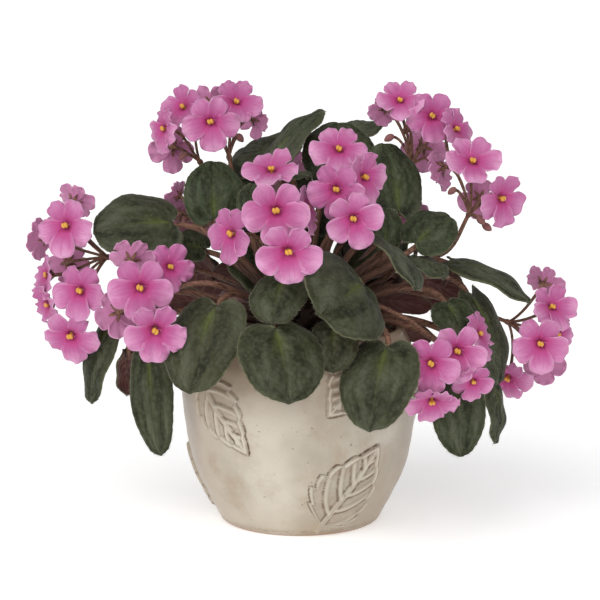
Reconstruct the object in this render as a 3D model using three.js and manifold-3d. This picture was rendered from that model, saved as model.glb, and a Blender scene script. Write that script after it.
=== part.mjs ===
// A pink African violet in full bloom, in a glazed, round-bellied pot with raised leaves.
// Millimetres, +Z up. The origin is the middle of the pot's foot and the front faces -Y.
import * as THREE from "three";
import { mergeVertices } from "three/addons/utils/BufferGeometryUtils.js";
import Module from "manifold-3d";

const wasm = await Module();
wasm.setup();

// Driving dimensions of the pot and the soil: the profile is [radius, height] from foot to lip
const POT_PROFILE = [
  [44.5, 0],
  [53.0, 15],
  [60.9, 33],
  [65.0, 55],
  [67.2, 76],
  [64.6, 95],
  [59.5, 109],
];
const POT_WALL = 5.5;
const POT_FLOOR = 9;
const POT_FOOT_EDGE = 1.2;
const POT_LIP_RADIUS = 2.7;
const POT_LIP_TURNS = [45, 108, 180];
const POT_PROFILE_STEPS = 8;
const POT_SIDES = 26;
const POT_INNER_HEIGHTS = [39, 71, 102];
const SOIL_TOP = 99;
const SOIL_RISE = 2;
const SOIL_SIDES = 15;
const RELIEF_HEIGHT = 1.5;
const RELIEF_ROOT = 0.9;
const RELIEF_RIB = 0.3;
const RELIEF_TEETH = 3;
const RELIEF_NOTCH = 0.86;
const RELIEF_FULLNESS = 0.68;
const RELIEF_TIP = 0.02;

// Driving dimensions of the plant
const GAP = 0.35;
const SCRAP_VOLUME = 0.01;
const FACET_TOLERANCE = 0.24;
const NECK_RADIUS = 8;
const NECK_FOOT = 80;
const NECK_TOP = 121;
const NECK_SIDES = 10;
const CROWN_RADIUS = 14;
const BLADE_THICKNESS = 0.9;
const BLADE_STEPS = 5;
const BLADE_COLUMNS = 4;
const PETIOLE_RADIUS = 2.3;
const PETIOLE_TIP_RADIUS = 1.6;
const PETIOLE_SIDES = 4;
const PETIOLE_STEPS = 4;
const PETIOLE_LOWEST_ROOT = 106;
const LOW_LEAF = 112;
const HIGH_LEAF = 192;
const STALK_RADIUS = 1.5;
const STALK_TIP_RADIUS = 1;
const STALK_SIDES = 4;
const STALK_STEPS = 3;
const STUB_RADIUS = 1.8;
const STUB_STEPS = 2;
const STALK_JOINT = 0.42;
const KNOT_RADIUS = 2.1;
const PEDICEL_RADIUS = 0.75;
const PEDICEL_END_RADIUS = 1.2;
const PEDICEL_SIDES = 3;
const PEDICEL_STEPS = 2;
const BUD_STALK_STEPS = 4;
const BLOOM_RADIUS = 17.5;
const PETAL_THICKNESS = 0.7;
const BUD_RADIUS = 3.2;
const BUD_DROOP = 8;

// The viewpoint that the places of leaves and blooms are read from: a point is given by where it
// shows in a 600 pixel square frame, and by how far it lies behind the pot's axis.
const VIEW_DISTANCE = 1400;
const VIEW_ELEVATION = THREE.MathUtils.degToRad(10.2);
const VIEW_AIM_HEIGHT = 125.7;
const VIEW_FOCAL = 2478;
const VIEW_CENTRE = 300;

const degrees = THREE.MathUtils.degToRad;
const UP = new THREE.Vector3(0, 0, 1);
const forward = new THREE.Vector3(0, Math.cos(VIEW_ELEVATION), -Math.sin(VIEW_ELEVATION));
const upward = new THREE.Vector3(0, Math.sin(VIEW_ELEVATION), Math.cos(VIEW_ELEVATION));
const eye = forward.clone().multiplyScalar(-VIEW_DISTANCE).add(new THREE.Vector3(0, 0, VIEW_AIM_HEIGHT));

// The point that shows at (across, down) in the frame and lies `depth` behind the pot's axis
function seen([across, down, depth]) {
  const ray = forward
    .clone()
    .addScaledVector(new THREE.Vector3(1, 0, 0), (across - VIEW_CENTRE) / VIEW_FOCAL)
    .addScaledVector(upward, -(down - VIEW_CENTRE) / VIEW_FOCAL);
  return eye.clone().addScaledVector(ray, (depth - eye.y) / ray.y);
}

// A point given by its bearing round the pot (0 is the front, 90 is +X), radius and height
function around([bearing, radius, height]) {
  const angle = degrees(bearing);
  return new THREE.Vector3(radius * Math.sin(angle), -radius * Math.cos(angle), height);
}

// Leaf blades: the notch where the petiole joins, the tip, the width, and how far the blade is
// turned about its own length away from facing up. Places are [across, down, depth].
const LEAVES = {
  front_left: { base: [216, 306, -49], tip: [190, 394, -73], width: 46, turn: 0 },
  front_middle: { base: [275, 329, -70], tip: [290, 404, -97], width: 46, turn: 0 },
  front_small: { base: [283, 279, -50], tip: [272, 325, -70], width: 31, turn: 0 },
  front_shade: { base: [334, 326, -57], tip: [333, 373, -69], width: 26, turn: 0 },
  front_right: { base: [387, 347, -62], tip: [370, 432, -90], width: 42, turn: 0 },
  front_top: { base: [361, 284, -44], tip: [319, 316, -86], width: 56, turn: -52 },
  left_low: { base: [149, 352, -26], tip: [161, 456, -41], width: 24, turn: 36 },
  left_narrow: { base: [115, 318, 6], tip: [91, 404, 0], width: 24, turn: -16 },
  left_under: { base: [126, 351, 34], tip: [131, 395, 46], width: 19, turn: -65 },
  left_big: { base: [172, 223, 8], tip: [93, 233, 2], width: 53, turn: -34 },
  left_round: { base: [214, 219, 16], tip: [213, 161, 34], width: 33, turn: 0 },
  left_small: { base: [204, 249, 26], tip: [166, 243, 34], width: 22, turn: -40 },
  top_left: { base: [279, 160, 44], tip: [243, 148, 74], width: 46, turn: -28 },
  top_long: { base: [270, 168, 22], tip: [324, 110, 42], width: 26, turn: 4 },
  top_middle: { base: [340, 178, 26], tip: [337, 122, 48], width: 41, turn: 0 },
  top_right: { base: [348, 136, 66], tip: [378, 123, 96], width: 27, turn: 0 },
  right_tall: { base: [399, 213, 18], tip: [383, 143, 40], width: 33, turn: 0 },
  right_round: { base: [416, 244, -6], tip: [450, 216, 8], width: 31, turn: 30 },
  right_small: { base: [386, 246, 4], tip: [386, 208, 11], width: 19, turn: 0 },
  right_grey: { base: [379, 238, -22], tip: [416, 290, -54], width: 32, turn: -30 },
  right_fold: { base: [414, 257, -6], tip: [445, 279, -20], width: 24, turn: 0 },
  right_long: { base: [453, 262, 14], tip: [530, 303, 4], width: 32, turn: 6 },
  right_shade: { base: [447, 303, -12], tip: [464, 338, -22], width: 25, turn: 20 },
  right_spike: { base: [471, 296, 8], tip: [499, 384, 2], width: 32, turn: 16 },
  right_low: { base: [453, 368, -26], tip: [461, 457, -40], width: 31, turn: 10 },
  right_narrow: { base: [492, 384, 2], tip: [495, 444, 0], width: 19, turn: -12 },
  right_back: { base: [398, 274, 34], tip: [462, 296, 44], width: 34, turn: -62 },
  left_back: { base: [216, 272, 44], tip: [150, 285, 56], width: 34, turn: 62 },
  middle_small: { base: [251, 216, 8], tip: [252, 184, 16], width: 16, turn: 0 },
  middle_top: { base: [284, 173, -4], tip: [309, 178, -14], width: 19, turn: 0 },
};

// Leaves of the far side, hidden in the frame: their bearing and the radius and height of the
// notch and of the tip
const FAR_LEAVES = {
  far_right: { bearing: 142, base: [48, 132], tip: [78, 162], width: 42 },
  far_middle_low: { bearing: 163, base: [74, 122], tip: [112, 92], width: 44 },
  far_middle: { bearing: 184, base: [46, 132], tip: [70, 165], width: 42 },
  far_left_low: { bearing: 206, base: [76, 122], tip: [116, 94], width: 44 },
  far_right_upper: { bearing: 150, base: [38, 160], tip: [66, 184], width: 27 },
  far_left_upper: { bearing: 200, base: [38, 160], tip: [66, 182], width: 27 },
};

// The outline of half a blade, as shares of its length and width, from the notch to the tip
const BLADE_OUTLINE = [
  [0, 0],
  [-0.1, 0.2],
  [0.05, 0.42],
  [0.37, 0.51],
  [0.7, 0.43],
  [0.93, 0.22],
  [1, 0],
];
const BLADE_CUP = 0.16;
const BLADE_ARCH = 0.12;
const BLADE_GROOVE = 0.05;
const BLADE_WAVE = 0.9;
const BLADE_WAVES = 3.5;

// Petals of a bloom: bearing from its top, reach and half width as shares of its radius
const PETALS = [
  { bearing: -35, reach: 0.84, half: 0.31 },
  { bearing: 35, reach: 0.84, half: 0.31 },
  { bearing: 106, reach: 1.0, half: 0.38 },
  { bearing: 180, reach: 1.0, half: 0.4 },
  { bearing: -106, reach: 1.0, half: 0.38 },
];
const PETAL_NOTCH = 0.27;
const PETAL_SHOULDER = 0.68;
const PETAL_RISE = 0.12;
const THROAT_RISE = 0.16;
const PEDICEL_REACH = 0.92;

// Flower sprays: the points that the stalk passes on its way from the crown to its fork, then
// each bloom as [across, down, depth, turned right, tipped up, rolled, size], then the buds
const SPRAYS = {
  upper_left_inner: {
    stalk: [[268, 262, 10], [240, 205, 34], [229, 157, 36]],
    blooms: [
      [210.6, 121.5, 28, -2, 4, 5, 1.0],
      [236, 102.5, 40, 14, 34, 0, 0.92],
      [254, 118, 62, 130, 0, 0, 0.74],
      [210, 102, 60, 190, 20, 0, 0.7],
    ],
    buds: [[240, 138, 40]],
  },
  upper_left_outer: {
    stalk: [[262, 268, 30], [225, 205, 58], [200, 162, 50]],
    blooms: [
      [184, 107.5, 44, -40, 30, -10, 0.86],
      [165, 128.5, 34, -58, 4, 0, 0.86],
      [172, 147, 58, 200, -15, 0, 0.86],
    ],
    buds: [[183, 156, 42]],
  },
  left_bud: {
    joint: 0.72,
    stalk: [[250, 285, 30], [215, 240, 42], [196, 222, 42]],
    blooms: [[178, 195, 42, -120, 20, 0, 0.62]],
    buds: [[168, 211, 38], [177, 216, 34], [186, 219, 42]],
  },
  far_left: {
    stalk: [[240, 285, 18], [170, 262, 40], [108, 257, 14]],
    blooms: [
      [66.5, 225.5, 0, -24, 10, 0, 1.04],
      [81, 290.5, -6, -26, 4, 0, 1.02],
      [48, 275, 14, -68, 8, 0, 0.85],
      [49, 304, 10, -60, -14, 20, 0.88],
      [71, 334.5, -2, -16, -24, 0, 1.04],
      [45, 237, 34, -130, 10, 0, 0.84],
      [75, 200, 30, 150, 30, 0, 0.76],
      [68, 262, 28, 165, -6, 0, 0.8],
    ],
    buds: [],
  },
  left_middle: {
    joint: 0.6,
    stalk: [[250, 296, -26], [205, 283, -50], [160, 292, -28]],
    blooms: [
      [140.5, 287.5, -52, -5, 4, 0, 1.1],
      [169.5, 266.5, -46, 24, 6, 0, 0.88],
      [155, 329.5, -64, 6, -16, 0, 1.08],
      [132, 258, -22, 170, 30, 0, 0.8],
      [117, 312, -24, 210, -10, 0, 0.85],
    ],
    buds: [],
  },
  middle_left: {
    stalk: [[285, 282, -24], [272, 262, -38], [262, 240, -30]],
    blooms: [
      [276, 210.5, -58, 0, 6, 0, 1.12],
      [288.5, 251, -74, 2, -8, 0, 1.08],
      [232.5, 233.5, -46, -46, 4, 0, 1.02],
      [271.5, 171, -34, -8, 56, 0, 0.98],
      [305, 208, -34, 70, 10, 0, 0.9],
    ],
    buds: [],
  },
  middle_top: {
    stalk: [[312, 270, -6], [330, 232, -12], [346, 205, -8]],
    blooms: [
      [339, 150, -24, 0, 36, 0, 0.98],
      [336.5, 189, -42, -6, 0, 0, 1.0],
      [363.5, 177, -30, 42, 6, 10, 0.98],
      [353, 218, -48, 4, -4, 20, 1.0],
    ],
    buds: [],
  },
  upper_right_inner: {
    stalk: [[345, 262, 24], [395, 205, 50], [412, 165, 44]],
    blooms: [
      [400, 101, 34, 0, 36, 0, 0.86],
      [432, 116, 30, 6, 14, 0, 0.96],
      [385, 108, 54, 210, 10, 0, 0.66],
      [424, 147, 62, 175, -10, 0, 0.85],
    ],
    buds: [[389, 138, 42], [407, 129, 46], [430, 159, 48]],
  },
  upper_right_outer: {
    stalk: [[345, 285, 12], [400, 263, 26], [446, 252, 22], [469, 214, 16]],
    blooms: [
      [455, 129.5, 22, 56, 22, 0, 0.88],
      [472.5, 162, 4, 6, 40, 0, 1.0],
      [500.5, 198, 8, 38, -4, 0, 1.0],
      [441, 168, 34, 240, -20, 0, 0.78],
      [479, 197, 30, 190, 0, 0, 0.74],
    ],
    buds: [[452, 191, 18], [481, 220, 12], [487, 227, 16]],
  },
  right_low: {
    stalk: [[352, 300, -24], [405, 318, -34], [440, 345, -34]],
    blooms: [
      [431, 363, -62, -4, 0, 0, 1.0],
      [457, 351, -52, 6, 4, 0, 1.0],
      [473, 381, -52, 14, -22, 0, 0.72],
      [432, 400, -58, 2, -46, 0, 0.95],
      [478, 334, -28, 68, 16, 0, 0.9],
    ],
    buds: [],
  },
  far_right: {
    stalk: [[360, 290, 6], [440, 298, 26], [508, 322, 32]],
    blooms: [
      [540, 343.5, -2, 4, 4, 0, 1.0],
      [551, 307.5, 12, 34, 30, 0, 0.92],
      [544, 282, 34, 150, 30, 0, 0.74],
      [557, 334, 28, 40, -4, 0, 0.74],
      [508, 377, 32, -22, -36, 0, 0.95],
      [545, 362, 34, 175, -20, 0, 0.78],
    ],
    buds: [],
  },
};

// Sprays of the far side: the stalk's points and the blooms' places are [bearing, radius,
// height]; each bloom then has its turn from its own bearing, its tip up, roll and size
const FAR_SPRAYS = {
  far_right_high: {
    stalk: [[146, 26, 140], [145, 54, 158], [144, 76, 166]],
    blooms: [
      [136, 96, 168, -10, 20, 0, 0.95],
      [152, 98, 186, 10, 30, 0, 1.0],
      [145, 100, 156, 0, -6, 0, 0.9],
    ],
  },
  far_middle_high: {
    stalk: [[178, 26, 150], [174, 48, 172], [174, 66, 180]],
    blooms: [
      [166, 84, 180, -12, 20, 0, 1.0],
      [186, 88, 188, 10, 30, 0, 1.05],
    ],
  },
  far_left_high: {
    stalk: [[220, 26, 142], [221, 54, 156], [220, 76, 162]],
    blooms: [
      [212, 98, 174, -8, 22, 0, 1.0],
      [226, 98, 164, 10, 28, 0, 0.95],
      [216, 102, 154, 0, -8, 0, 0.9],
    ],
  },
};

// Raised leaves on the pot: [bearing, height] of the stem and of the tip, and the width
const RELIEFS = [
  { stem: [-53, 88], tip: [-26, 50], width: 33 },
  { stem: [14, 8], tip: [42, 53], width: 43 },
  { stem: [34, 100], tip: [13, 73], width: 34 },
  { stem: [-97, 7], tip: [-84, 45], width: 32 },
  { stem: [-118, 93], tip: [-88, 76], width: 30 },
  { stem: [126, 42], tip: [92, 66], width: 32 },
  { stem: [88, 78], tip: [62, 102], width: 28 },
  { stem: [141, 94], tip: [166, 62], width: 33 },
  { stem: [-172, 8], tip: [-157, 50], width: 34 },
  { stem: [-148, 98], tip: [-176, 74], width: 32 },
];

const glaze = new THREE.MeshStandardMaterial({ color: 0xcbbfab, roughness: 0.4, metalness: 0 });
const earth = new THREE.MeshStandardMaterial({ color: 0x33261c, roughness: 0.95, metalness: 0 });
const stem = new THREE.MeshStandardMaterial({ color: 0x5a322a, roughness: 0.7, metalness: 0 });
const green = new THREE.MeshStandardMaterial({ color: 0x414a33, roughness: 0.75, metalness: 0 });
const pink = new THREE.MeshStandardMaterial({ color: 0xd685b5, roughness: 0.6, metalness: 0 });

// Merges the shared corners of a geometry and drops the triangles that this closes up
function weld(geometry) {
  geometry.deleteAttribute("normal");
  geometry.deleteAttribute("uv");
  const merged = mergeVertices(geometry, 1e-4);
  const kept = [];
  for (let i = 0; i < merged.index.count; i += 3) {
    const [a, b, c] = [merged.index.getX(i), merged.index.getX(i + 1), merged.index.getX(i + 2)];
    if (a !== b && b !== c && c !== a) kept.push(a, b, c);
  }
  merged.setIndex(kept);
  return merged;
}

function toSolid(geometry) {
  const welded = weld(geometry);
  return new wasm.Manifold(
    new wasm.Mesh({
      numProp: 3,
      vertProperties: new Float32Array(welded.attributes.position.array),
      triVerts: new Uint32Array(welded.index.array),
    }),
  );
}

function toGeometry(solid) {
  const mesh = solid.getMesh();
  const geometry = new THREE.BufferGeometry();
  geometry.setAttribute("position", new THREE.BufferAttribute(new Float32Array(mesh.vertProperties), 3));
  geometry.setIndex(new THREE.BufferAttribute(new Uint32Array(mesh.triVerts), 1));
  return geometry;
}

// One body out of many, without the empty slivers that a join can leave
function joined(solids) {
  const whole = solids.reduce((sum, solid) => sum.add(solid)).simplify(FACET_TOLERANCE);
  const bodies = whole.decompose();
  bodies.sort((a, b) => b.volume() - a.volume());
  if (bodies.length > 1 && bodies[1].volume() > SCRAP_VOLUME) throw new Error("a piece isn't joined");
  return bodies[0];
}

// A closed body round an open sheet: each point pushed half the thickness either way along its
// lift, both faces split alike, and a wall along the sheet's open edges
function thickSheet(points, triangles, lifts, thickness) {
  const count = points.length;
  const top = points.map((point, i) => point.clone().addScaledVector(lifts[i], thickness / 2));
  const bottom = points.map((point, i) => point.clone().addScaledVector(lifts[i], -thickness / 2));
  const index = [];
  const openEdges = new Map();
  for (const [a, b, c] of triangles) {
    index.push(a, b, c, count + a, count + c, count + b);
    for (const [from, to] of [[a, b], [b, c], [c, a]]) {
      if (!openEdges.delete(`${to},${from}`)) openEdges.set(`${from},${to}`, [from, to]);
    }
  }
  for (const [from, to] of openEdges.values()) {
    index.push(from, count + from, to, to, count + from, count + to);
  }
  const geometry = new THREE.BufferGeometry().setFromPoints([...top, ...bottom]);
  geometry.setIndex(index);
  return geometry;
}

// A round-ended tapering rod along a curve, made from a turned rod whose height is bent onto it
function rod(curve, startRadius, endRadius, sides, steps) {
  const profile = [new THREE.Vector2(0, 0)];
  for (let i = 0; i <= steps; i++) {
    profile.push(new THREE.Vector2(THREE.MathUtils.lerp(startRadius, endRadius, i / steps), i / steps));
  }
  profile.push(new THREE.Vector2(0, 1));
  const geometry = weld(new THREE.LatheGeometry(profile, sides));
  const frames = curve.computeFrenetFrames(steps, false);
  const position = geometry.attributes.position;
  for (let i = 0; i < position.count; i++) {
    const height = position.getY(i);
    const frame = Math.round(height * steps);
    const point = curve
      .getPointAt(height)
      .addScaledVector(frames.binormals[frame], position.getX(i))
      .addScaledVector(frames.normals[frame], position.getZ(i));
    position.setXYZ(i, point.x, point.y, point.z);
  }
  return toSolid(geometry);
}

const potCurve = new THREE.SplineCurve(POT_PROFILE.map((point) => new THREE.Vector2(...point)));
const potOuter = potCurve.getPoints(POT_PROFILE_STEPS);

// The pot's outer radius at a height
function potRadius(height) {
  const next = potOuter.findIndex((point) => point.y > height);
  if (next < 1) return potOuter[next === 0 ? 0 : potOuter.length - 1].x;
  const [low, high] = [potOuter[next - 1], potOuter[next]];
  return THREE.MathUtils.mapLinear(height, low.y, high.y, low.x, high.x);
}

function turned(profile, sides) {
  const geometry = new THREE.LatheGeometry(profile, sides);
  geometry.rotateX(Math.PI / 2);
  return toSolid(geometry);
}

// A serrated leaf that lies on the pot, its back sunk into the wall
function relief({ stem: [stemBearing, stemHeight], tip: [tipBearing, tipHeight], width }) {
  const middle = potRadius((stemHeight + tipHeight) / 2);
  const run = degrees(tipBearing - stemBearing) * middle;
  const rise = tipHeight - stemHeight;
  const length = Math.hypot(run, rise);
  const points = [];
  const lifts = [];
  const place = (along, side, height) => {
    const round = along * run + (side * width * rise) / length;
    const bearing = stemBearing + THREE.MathUtils.radToDeg(round / middle);
    const z = stemHeight + along * rise - (side * width * run) / length;
    points.push(around([bearing, potRadius(z) + height, z]));
    lifts.push(around([bearing, 1, 0]));
  };
  const rows = 2 * RELIEF_TEETH;
  for (let row = 0; row <= rows; row++) {
    const along = row / rows;
    const tooth = row % 2 === 0 ? RELIEF_NOTCH : 1;
    const half = 0.5 * tooth * Math.sin(Math.PI * Math.pow(along, RELIEF_FULLNESS)) + RELIEF_TIP;
    const height = (RELIEF_HEIGHT - RELIEF_ROOT) / 2;
    place(along, -half, height - RELIEF_RIB);
    place(along, 0, height);
    place(along, half, height - RELIEF_RIB);
  }
  const triangles = [];
  for (let row = 0; row < rows; row++) {
    const [left, middle, right] = [3 * row, 3 * row + 1, 3 * row + 2];
    triangles.push([left, middle, middle + 3], [left, middle + 3, left + 3]);
    triangles.push([middle, right, middle + 3], [right, right + 3, middle + 3]);
  }
  return toSolid(thickSheet(points, triangles, lifts, RELIEF_HEIGHT + RELIEF_ROOT));
}

function makePot() {
  const top = potOuter[potOuter.length - 1];
  const lip = POT_LIP_TURNS.map((turn) => {
    const angle = degrees(turn);
    return new THREE.Vector2(
      top.x - POT_LIP_RADIUS + POT_LIP_RADIUS * Math.cos(angle),
      top.y + POT_LIP_RADIUS * Math.sin(angle),
    );
  });
  const inner = POT_INNER_HEIGHTS.map((height) => new THREE.Vector2(potRadius(height) - POT_WALL, height));
  const profile = [
    new THREE.Vector2(0, 0),
    new THREE.Vector2(potOuter[0].x - POT_FOOT_EDGE, 0),
    new THREE.Vector2(potOuter[0].x, POT_FOOT_EDGE),
    ...potOuter.slice(1),
    ...lip,
    ...inner.reverse(),
    new THREE.Vector2(potRadius(POT_FLOOR) - POT_WALL - 2, POT_FLOOR),
    new THREE.Vector2(0, POT_FLOOR),
  ];
  return joined([turned(profile, POT_SIDES), ...RELIEFS.map(relief)]);
}

// The soil fills the pot, a little higher in the middle, with a plain hole for the crown's neck
function makeSoil() {
  const edgeHeight = SOIL_TOP - SOIL_RISE;
  const wall = POT_INNER_HEIGHTS.filter((height) => height < edgeHeight).map(
    (height) => new THREE.Vector2(potRadius(height) - POT_WALL - 2 * GAP, height),
  );
  const edge = potRadius(SOIL_TOP) - POT_WALL - 4 * GAP;
  const profile = [
    new THREE.Vector2(0, POT_FLOOR + GAP),
    new THREE.Vector2(potRadius(POT_FLOOR) - POT_WALL - 3, POT_FLOOR + GAP),
    ...wall,
    new THREE.Vector2(edge, edgeHeight),
    new THREE.Vector2(edge * 0.6, SOIL_TOP),
    new THREE.Vector2(CROWN_RADIUS, SOIL_TOP + SOIL_RISE),
    new THREE.Vector2(0, SOIL_TOP + SOIL_RISE),
  ];
  const hole = turned(
    [
      new THREE.Vector2(0, NECK_FOOT - GAP),
      new THREE.Vector2(NECK_RADIUS + GAP, NECK_FOOT - GAP),
      new THREE.Vector2(NECK_RADIUS + GAP, SOIL_TOP + 4 * SOIL_RISE),
      new THREE.Vector2(0, SOIL_TOP + 4 * SOIL_RISE),
    ],
    NECK_SIDES,
  );
  return turned(profile, SOIL_SIDES).subtract(hole);
}

// Everything that one blade's shape and its petiole's end are worked out from
function bladeFrame({ base, tip, width, turn }) {
  const along = tip.clone().sub(base);
  const length = along.length();
  along.normalize();
  const face = UP.clone().addScaledVector(along, -UP.dot(along)).normalize();
  face.applyAxisAngle(along, degrees(turn));
  const across = new THREE.Vector3().crossVectors(face, along);
  return { base, along, across, face, length, width };
}

// The middle of the blade's sheet at `row` of its length and `side` from -1 to 1 of its width
function bladePoint(frame, outline, row, side) {
  const { base, along, across, face, length, width } = frame;
  const edge = outline.getPoint(row);
  const reach = Math.abs(side);
  const x = THREE.MathUtils.lerp(row, edge.x, reach) * length;
  const y = Math.sign(side) * reach * edge.y * width;
  const spread = Math.abs(y) / (width / 2);
  const middle = Math.max(0, x / length);
  const wave = BLADE_WAVE * reach * Math.sin(row * Math.PI * 2 * BLADE_WAVES + (side > 0 ? 0 : 1.3));
  const height =
    BLADE_ARCH * length * 4 * middle * (1 - middle) -
    BLADE_CUP * (width / 2) * spread * spread -
    BLADE_GROOVE * width * Math.pow(1 - reach, 3) * Math.sin(Math.PI * row) +
    wave;
  return base.clone().addScaledVector(along, x).addScaledVector(across, y).addScaledVector(face, height);
}

function makeBlade(frame) {
  const outline = new THREE.SplineCurve(BLADE_OUTLINE.map((point) => new THREE.Vector2(...point)));
  const points = [frame.base.clone()];
  for (let row = 1; row < BLADE_STEPS; row++) {
    for (let column = 0; column <= BLADE_COLUMNS; column++) {
      points.push(bladePoint(frame, outline, row / BLADE_STEPS, (2 * column) / BLADE_COLUMNS - 1));
    }
  }
  const tip = points.push(bladePoint(frame, outline, 1, 0)) - 1;
  const triangles = [];
  const corner = (row, column) => 1 + (row - 1) * (BLADE_COLUMNS + 1) + column;
  for (let column = 0; column < BLADE_COLUMNS; column++) {
    triangles.push([0, corner(1, column), corner(1, column + 1)]);
    for (let row = 1; row < BLADE_STEPS - 1; row++) {
      const [a, b] = [corner(row, column), corner(row, column + 1)];
      const [c, d] = [corner(row + 1, column + 1), corner(row + 1, column)];
      if (column < BLADE_COLUMNS / 2) triangles.push([a, c, b], [a, d, c]);
      else triangles.push([a, d, b], [b, d, c]);
    }
    triangles.push([corner(BLADE_STEPS - 1, column), tip, corner(BLADE_STEPS - 1, column + 1)]);
  }
  return thickSheet(points, triangles, points.map(() => frame.face), BLADE_THICKNESS);
}

// A petiole leaves the crown towards its blade and arrives under the blade along its midrib. Those
// of high leaves leave higher up and more steeply.
function makePetiole(frame) {
  const under = BLADE_THICKNESS / 2 + PETIOLE_TIP_RADIUS + 1.3 * GAP;
  const end = frame.base.clone().addScaledVector(frame.face, -under);
  const bearing = new THREE.Vector3(frame.base.x, frame.base.y, 0).normalize();
  const lift = THREE.MathUtils.clamp((frame.base.z - LOW_LEAF) / (HIGH_LEAF - LOW_LEAF), 0, 1);
  const root = bearing.clone().multiplyScalar(NECK_RADIUS / 2);
  root.z = THREE.MathUtils.lerp(PETIOLE_LOWEST_ROOT, NECK_TOP - 3, lift);
  const span = end.distanceTo(root);
  const steepness = THREE.MathUtils.lerp(0.62, 0.95, lift);
  const leaving = bearing.multiplyScalar(THREE.MathUtils.lerp(1, 0.55, lift)).addScaledVector(UP, steepness);
  const curve = new THREE.CubicBezierCurve3(
    root,
    root.clone().addScaledVector(leaving, span * 0.36),
    end.clone().addScaledVector(frame.along, -span * 0.3),
    end,
  );
  return rod(curve, PETIOLE_RADIUS, PETIOLE_TIP_RADIUS, PETIOLE_SIDES, PETIOLE_STEPS);
}

// The short stem: its neck stands in the soil and its head carries the petioles and stalks
function makeNeck() {
  const profile = [
    new THREE.Vector2(0, NECK_FOOT),
    new THREE.Vector2(NECK_RADIUS * 0.7, NECK_FOOT),
    new THREE.Vector2(NECK_RADIUS, NECK_FOOT + 10),
    new THREE.Vector2(NECK_RADIUS, SOIL_TOP + 4),
    new THREE.Vector2(CROWN_RADIUS, NECK_TOP - 12),
    new THREE.Vector2(CROWN_RADIUS * 0.9, NECK_TOP - 3),
    new THREE.Vector2(0, NECK_TOP + 3),
  ];
  return turned(profile, NECK_SIDES);
}

// A stalk runs from the crown to its fork; the crown holds it up to the spray's joint
function stalkCurve(points) {
  const [first] = points;
  const root = new THREE.Vector3(first.x, first.y, 0).setLength(NECK_RADIUS * 0.4);
  root.z = NECK_TOP - 4;
  return new THREE.CatmullRomCurve3([root, ...points]);
}

// The stretch of a curve between two shares of its length
class Stretch extends THREE.Curve {
  constructor(curve, from, to) {
    super();
    this.curve = curve;
    this.from = from;
    this.to = to;
  }

  getPoint(share, target = new THREE.Vector3()) {
    return this.curve.getPointAt(THREE.MathUtils.lerp(this.from, this.to, share), target);
  }
}

function facing(turn, tip) {
  const [yaw, pitch] = [degrees(turn), degrees(tip)];
  return new THREE.Vector3(
    Math.sin(yaw) * Math.cos(pitch),
    -Math.cos(yaw) * Math.cos(pitch),
    Math.sin(pitch),
  );
}

// A five-petalled bloom as one shallow bowl, its petals split down to the throat
function makeBloom({ centre, face, roll, size }) {
  const radius = BLOOM_RADIUS * size;
  const top = UP.clone().addScaledVector(face, -UP.dot(face)).normalize();
  top.applyAxisAngle(face, degrees(roll));
  const side = new THREE.Vector3().crossVectors(top, face);
  const point = (bearing, reach, rise) =>
    centre
      .clone()
      .addScaledVector(top, Math.cos(bearing) * reach * radius)
      .addScaledVector(side, Math.sin(bearing) * reach * radius)
      .addScaledVector(face, rise * radius);
  const points = [point(0, 0, THROAT_RISE)];
  const triangles = [];
  const notches = PETALS.map(({ bearing }, i) => {
    const next = PETALS[(i + 1) % PETALS.length].bearing;
    const turnToNext = THREE.MathUtils.euclideanModulo(next - bearing, 360);
    return points.push(point(degrees(bearing + turnToNext / 2), PETAL_NOTCH, PETAL_RISE * 0.5)) - 1;
  });
  PETALS.forEach(({ bearing, reach, half }, i) => {
    const middle = degrees(bearing);
    const shoulder = Math.hypot(PETAL_SHOULDER * reach, half);
    const spread = Math.atan2(half, PETAL_SHOULDER * reach);
    const before = notches[(i + PETALS.length - 1) % PETALS.length];
    const left = points.push(point(middle - spread, shoulder, PETAL_RISE)) - 1;
    const tip = points.push(point(middle, reach, PETAL_RISE * 0.7)) - 1;
    const right = points.push(point(middle + spread, shoulder, PETAL_RISE)) - 1;
    triangles.push([0, notches[i], before], [before, notches[i], left], [left, notches[i], right]);
    triangles.push([left, right, tip]);
  });
  return toSolid(thickSheet(points, triangles, points.map(() => face), PETAL_THICKNESS));
}

function makePedicel(fork, onward, end, arriving, endRadius, steps) {
  const span = fork.distanceTo(end);
  const leaving = end.clone().sub(fork).normalize().lerp(onward, 0.4);
  const curve = new THREE.CubicBezierCurve3(
    fork,
    fork.clone().addScaledVector(leaving, span * 0.35),
    end.clone().addScaledVector(arriving, -span * 0.35),
    end,
  );
  return rod(curve, PEDICEL_RADIUS, endRadius, PEDICEL_SIDES, steps);
}

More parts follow.
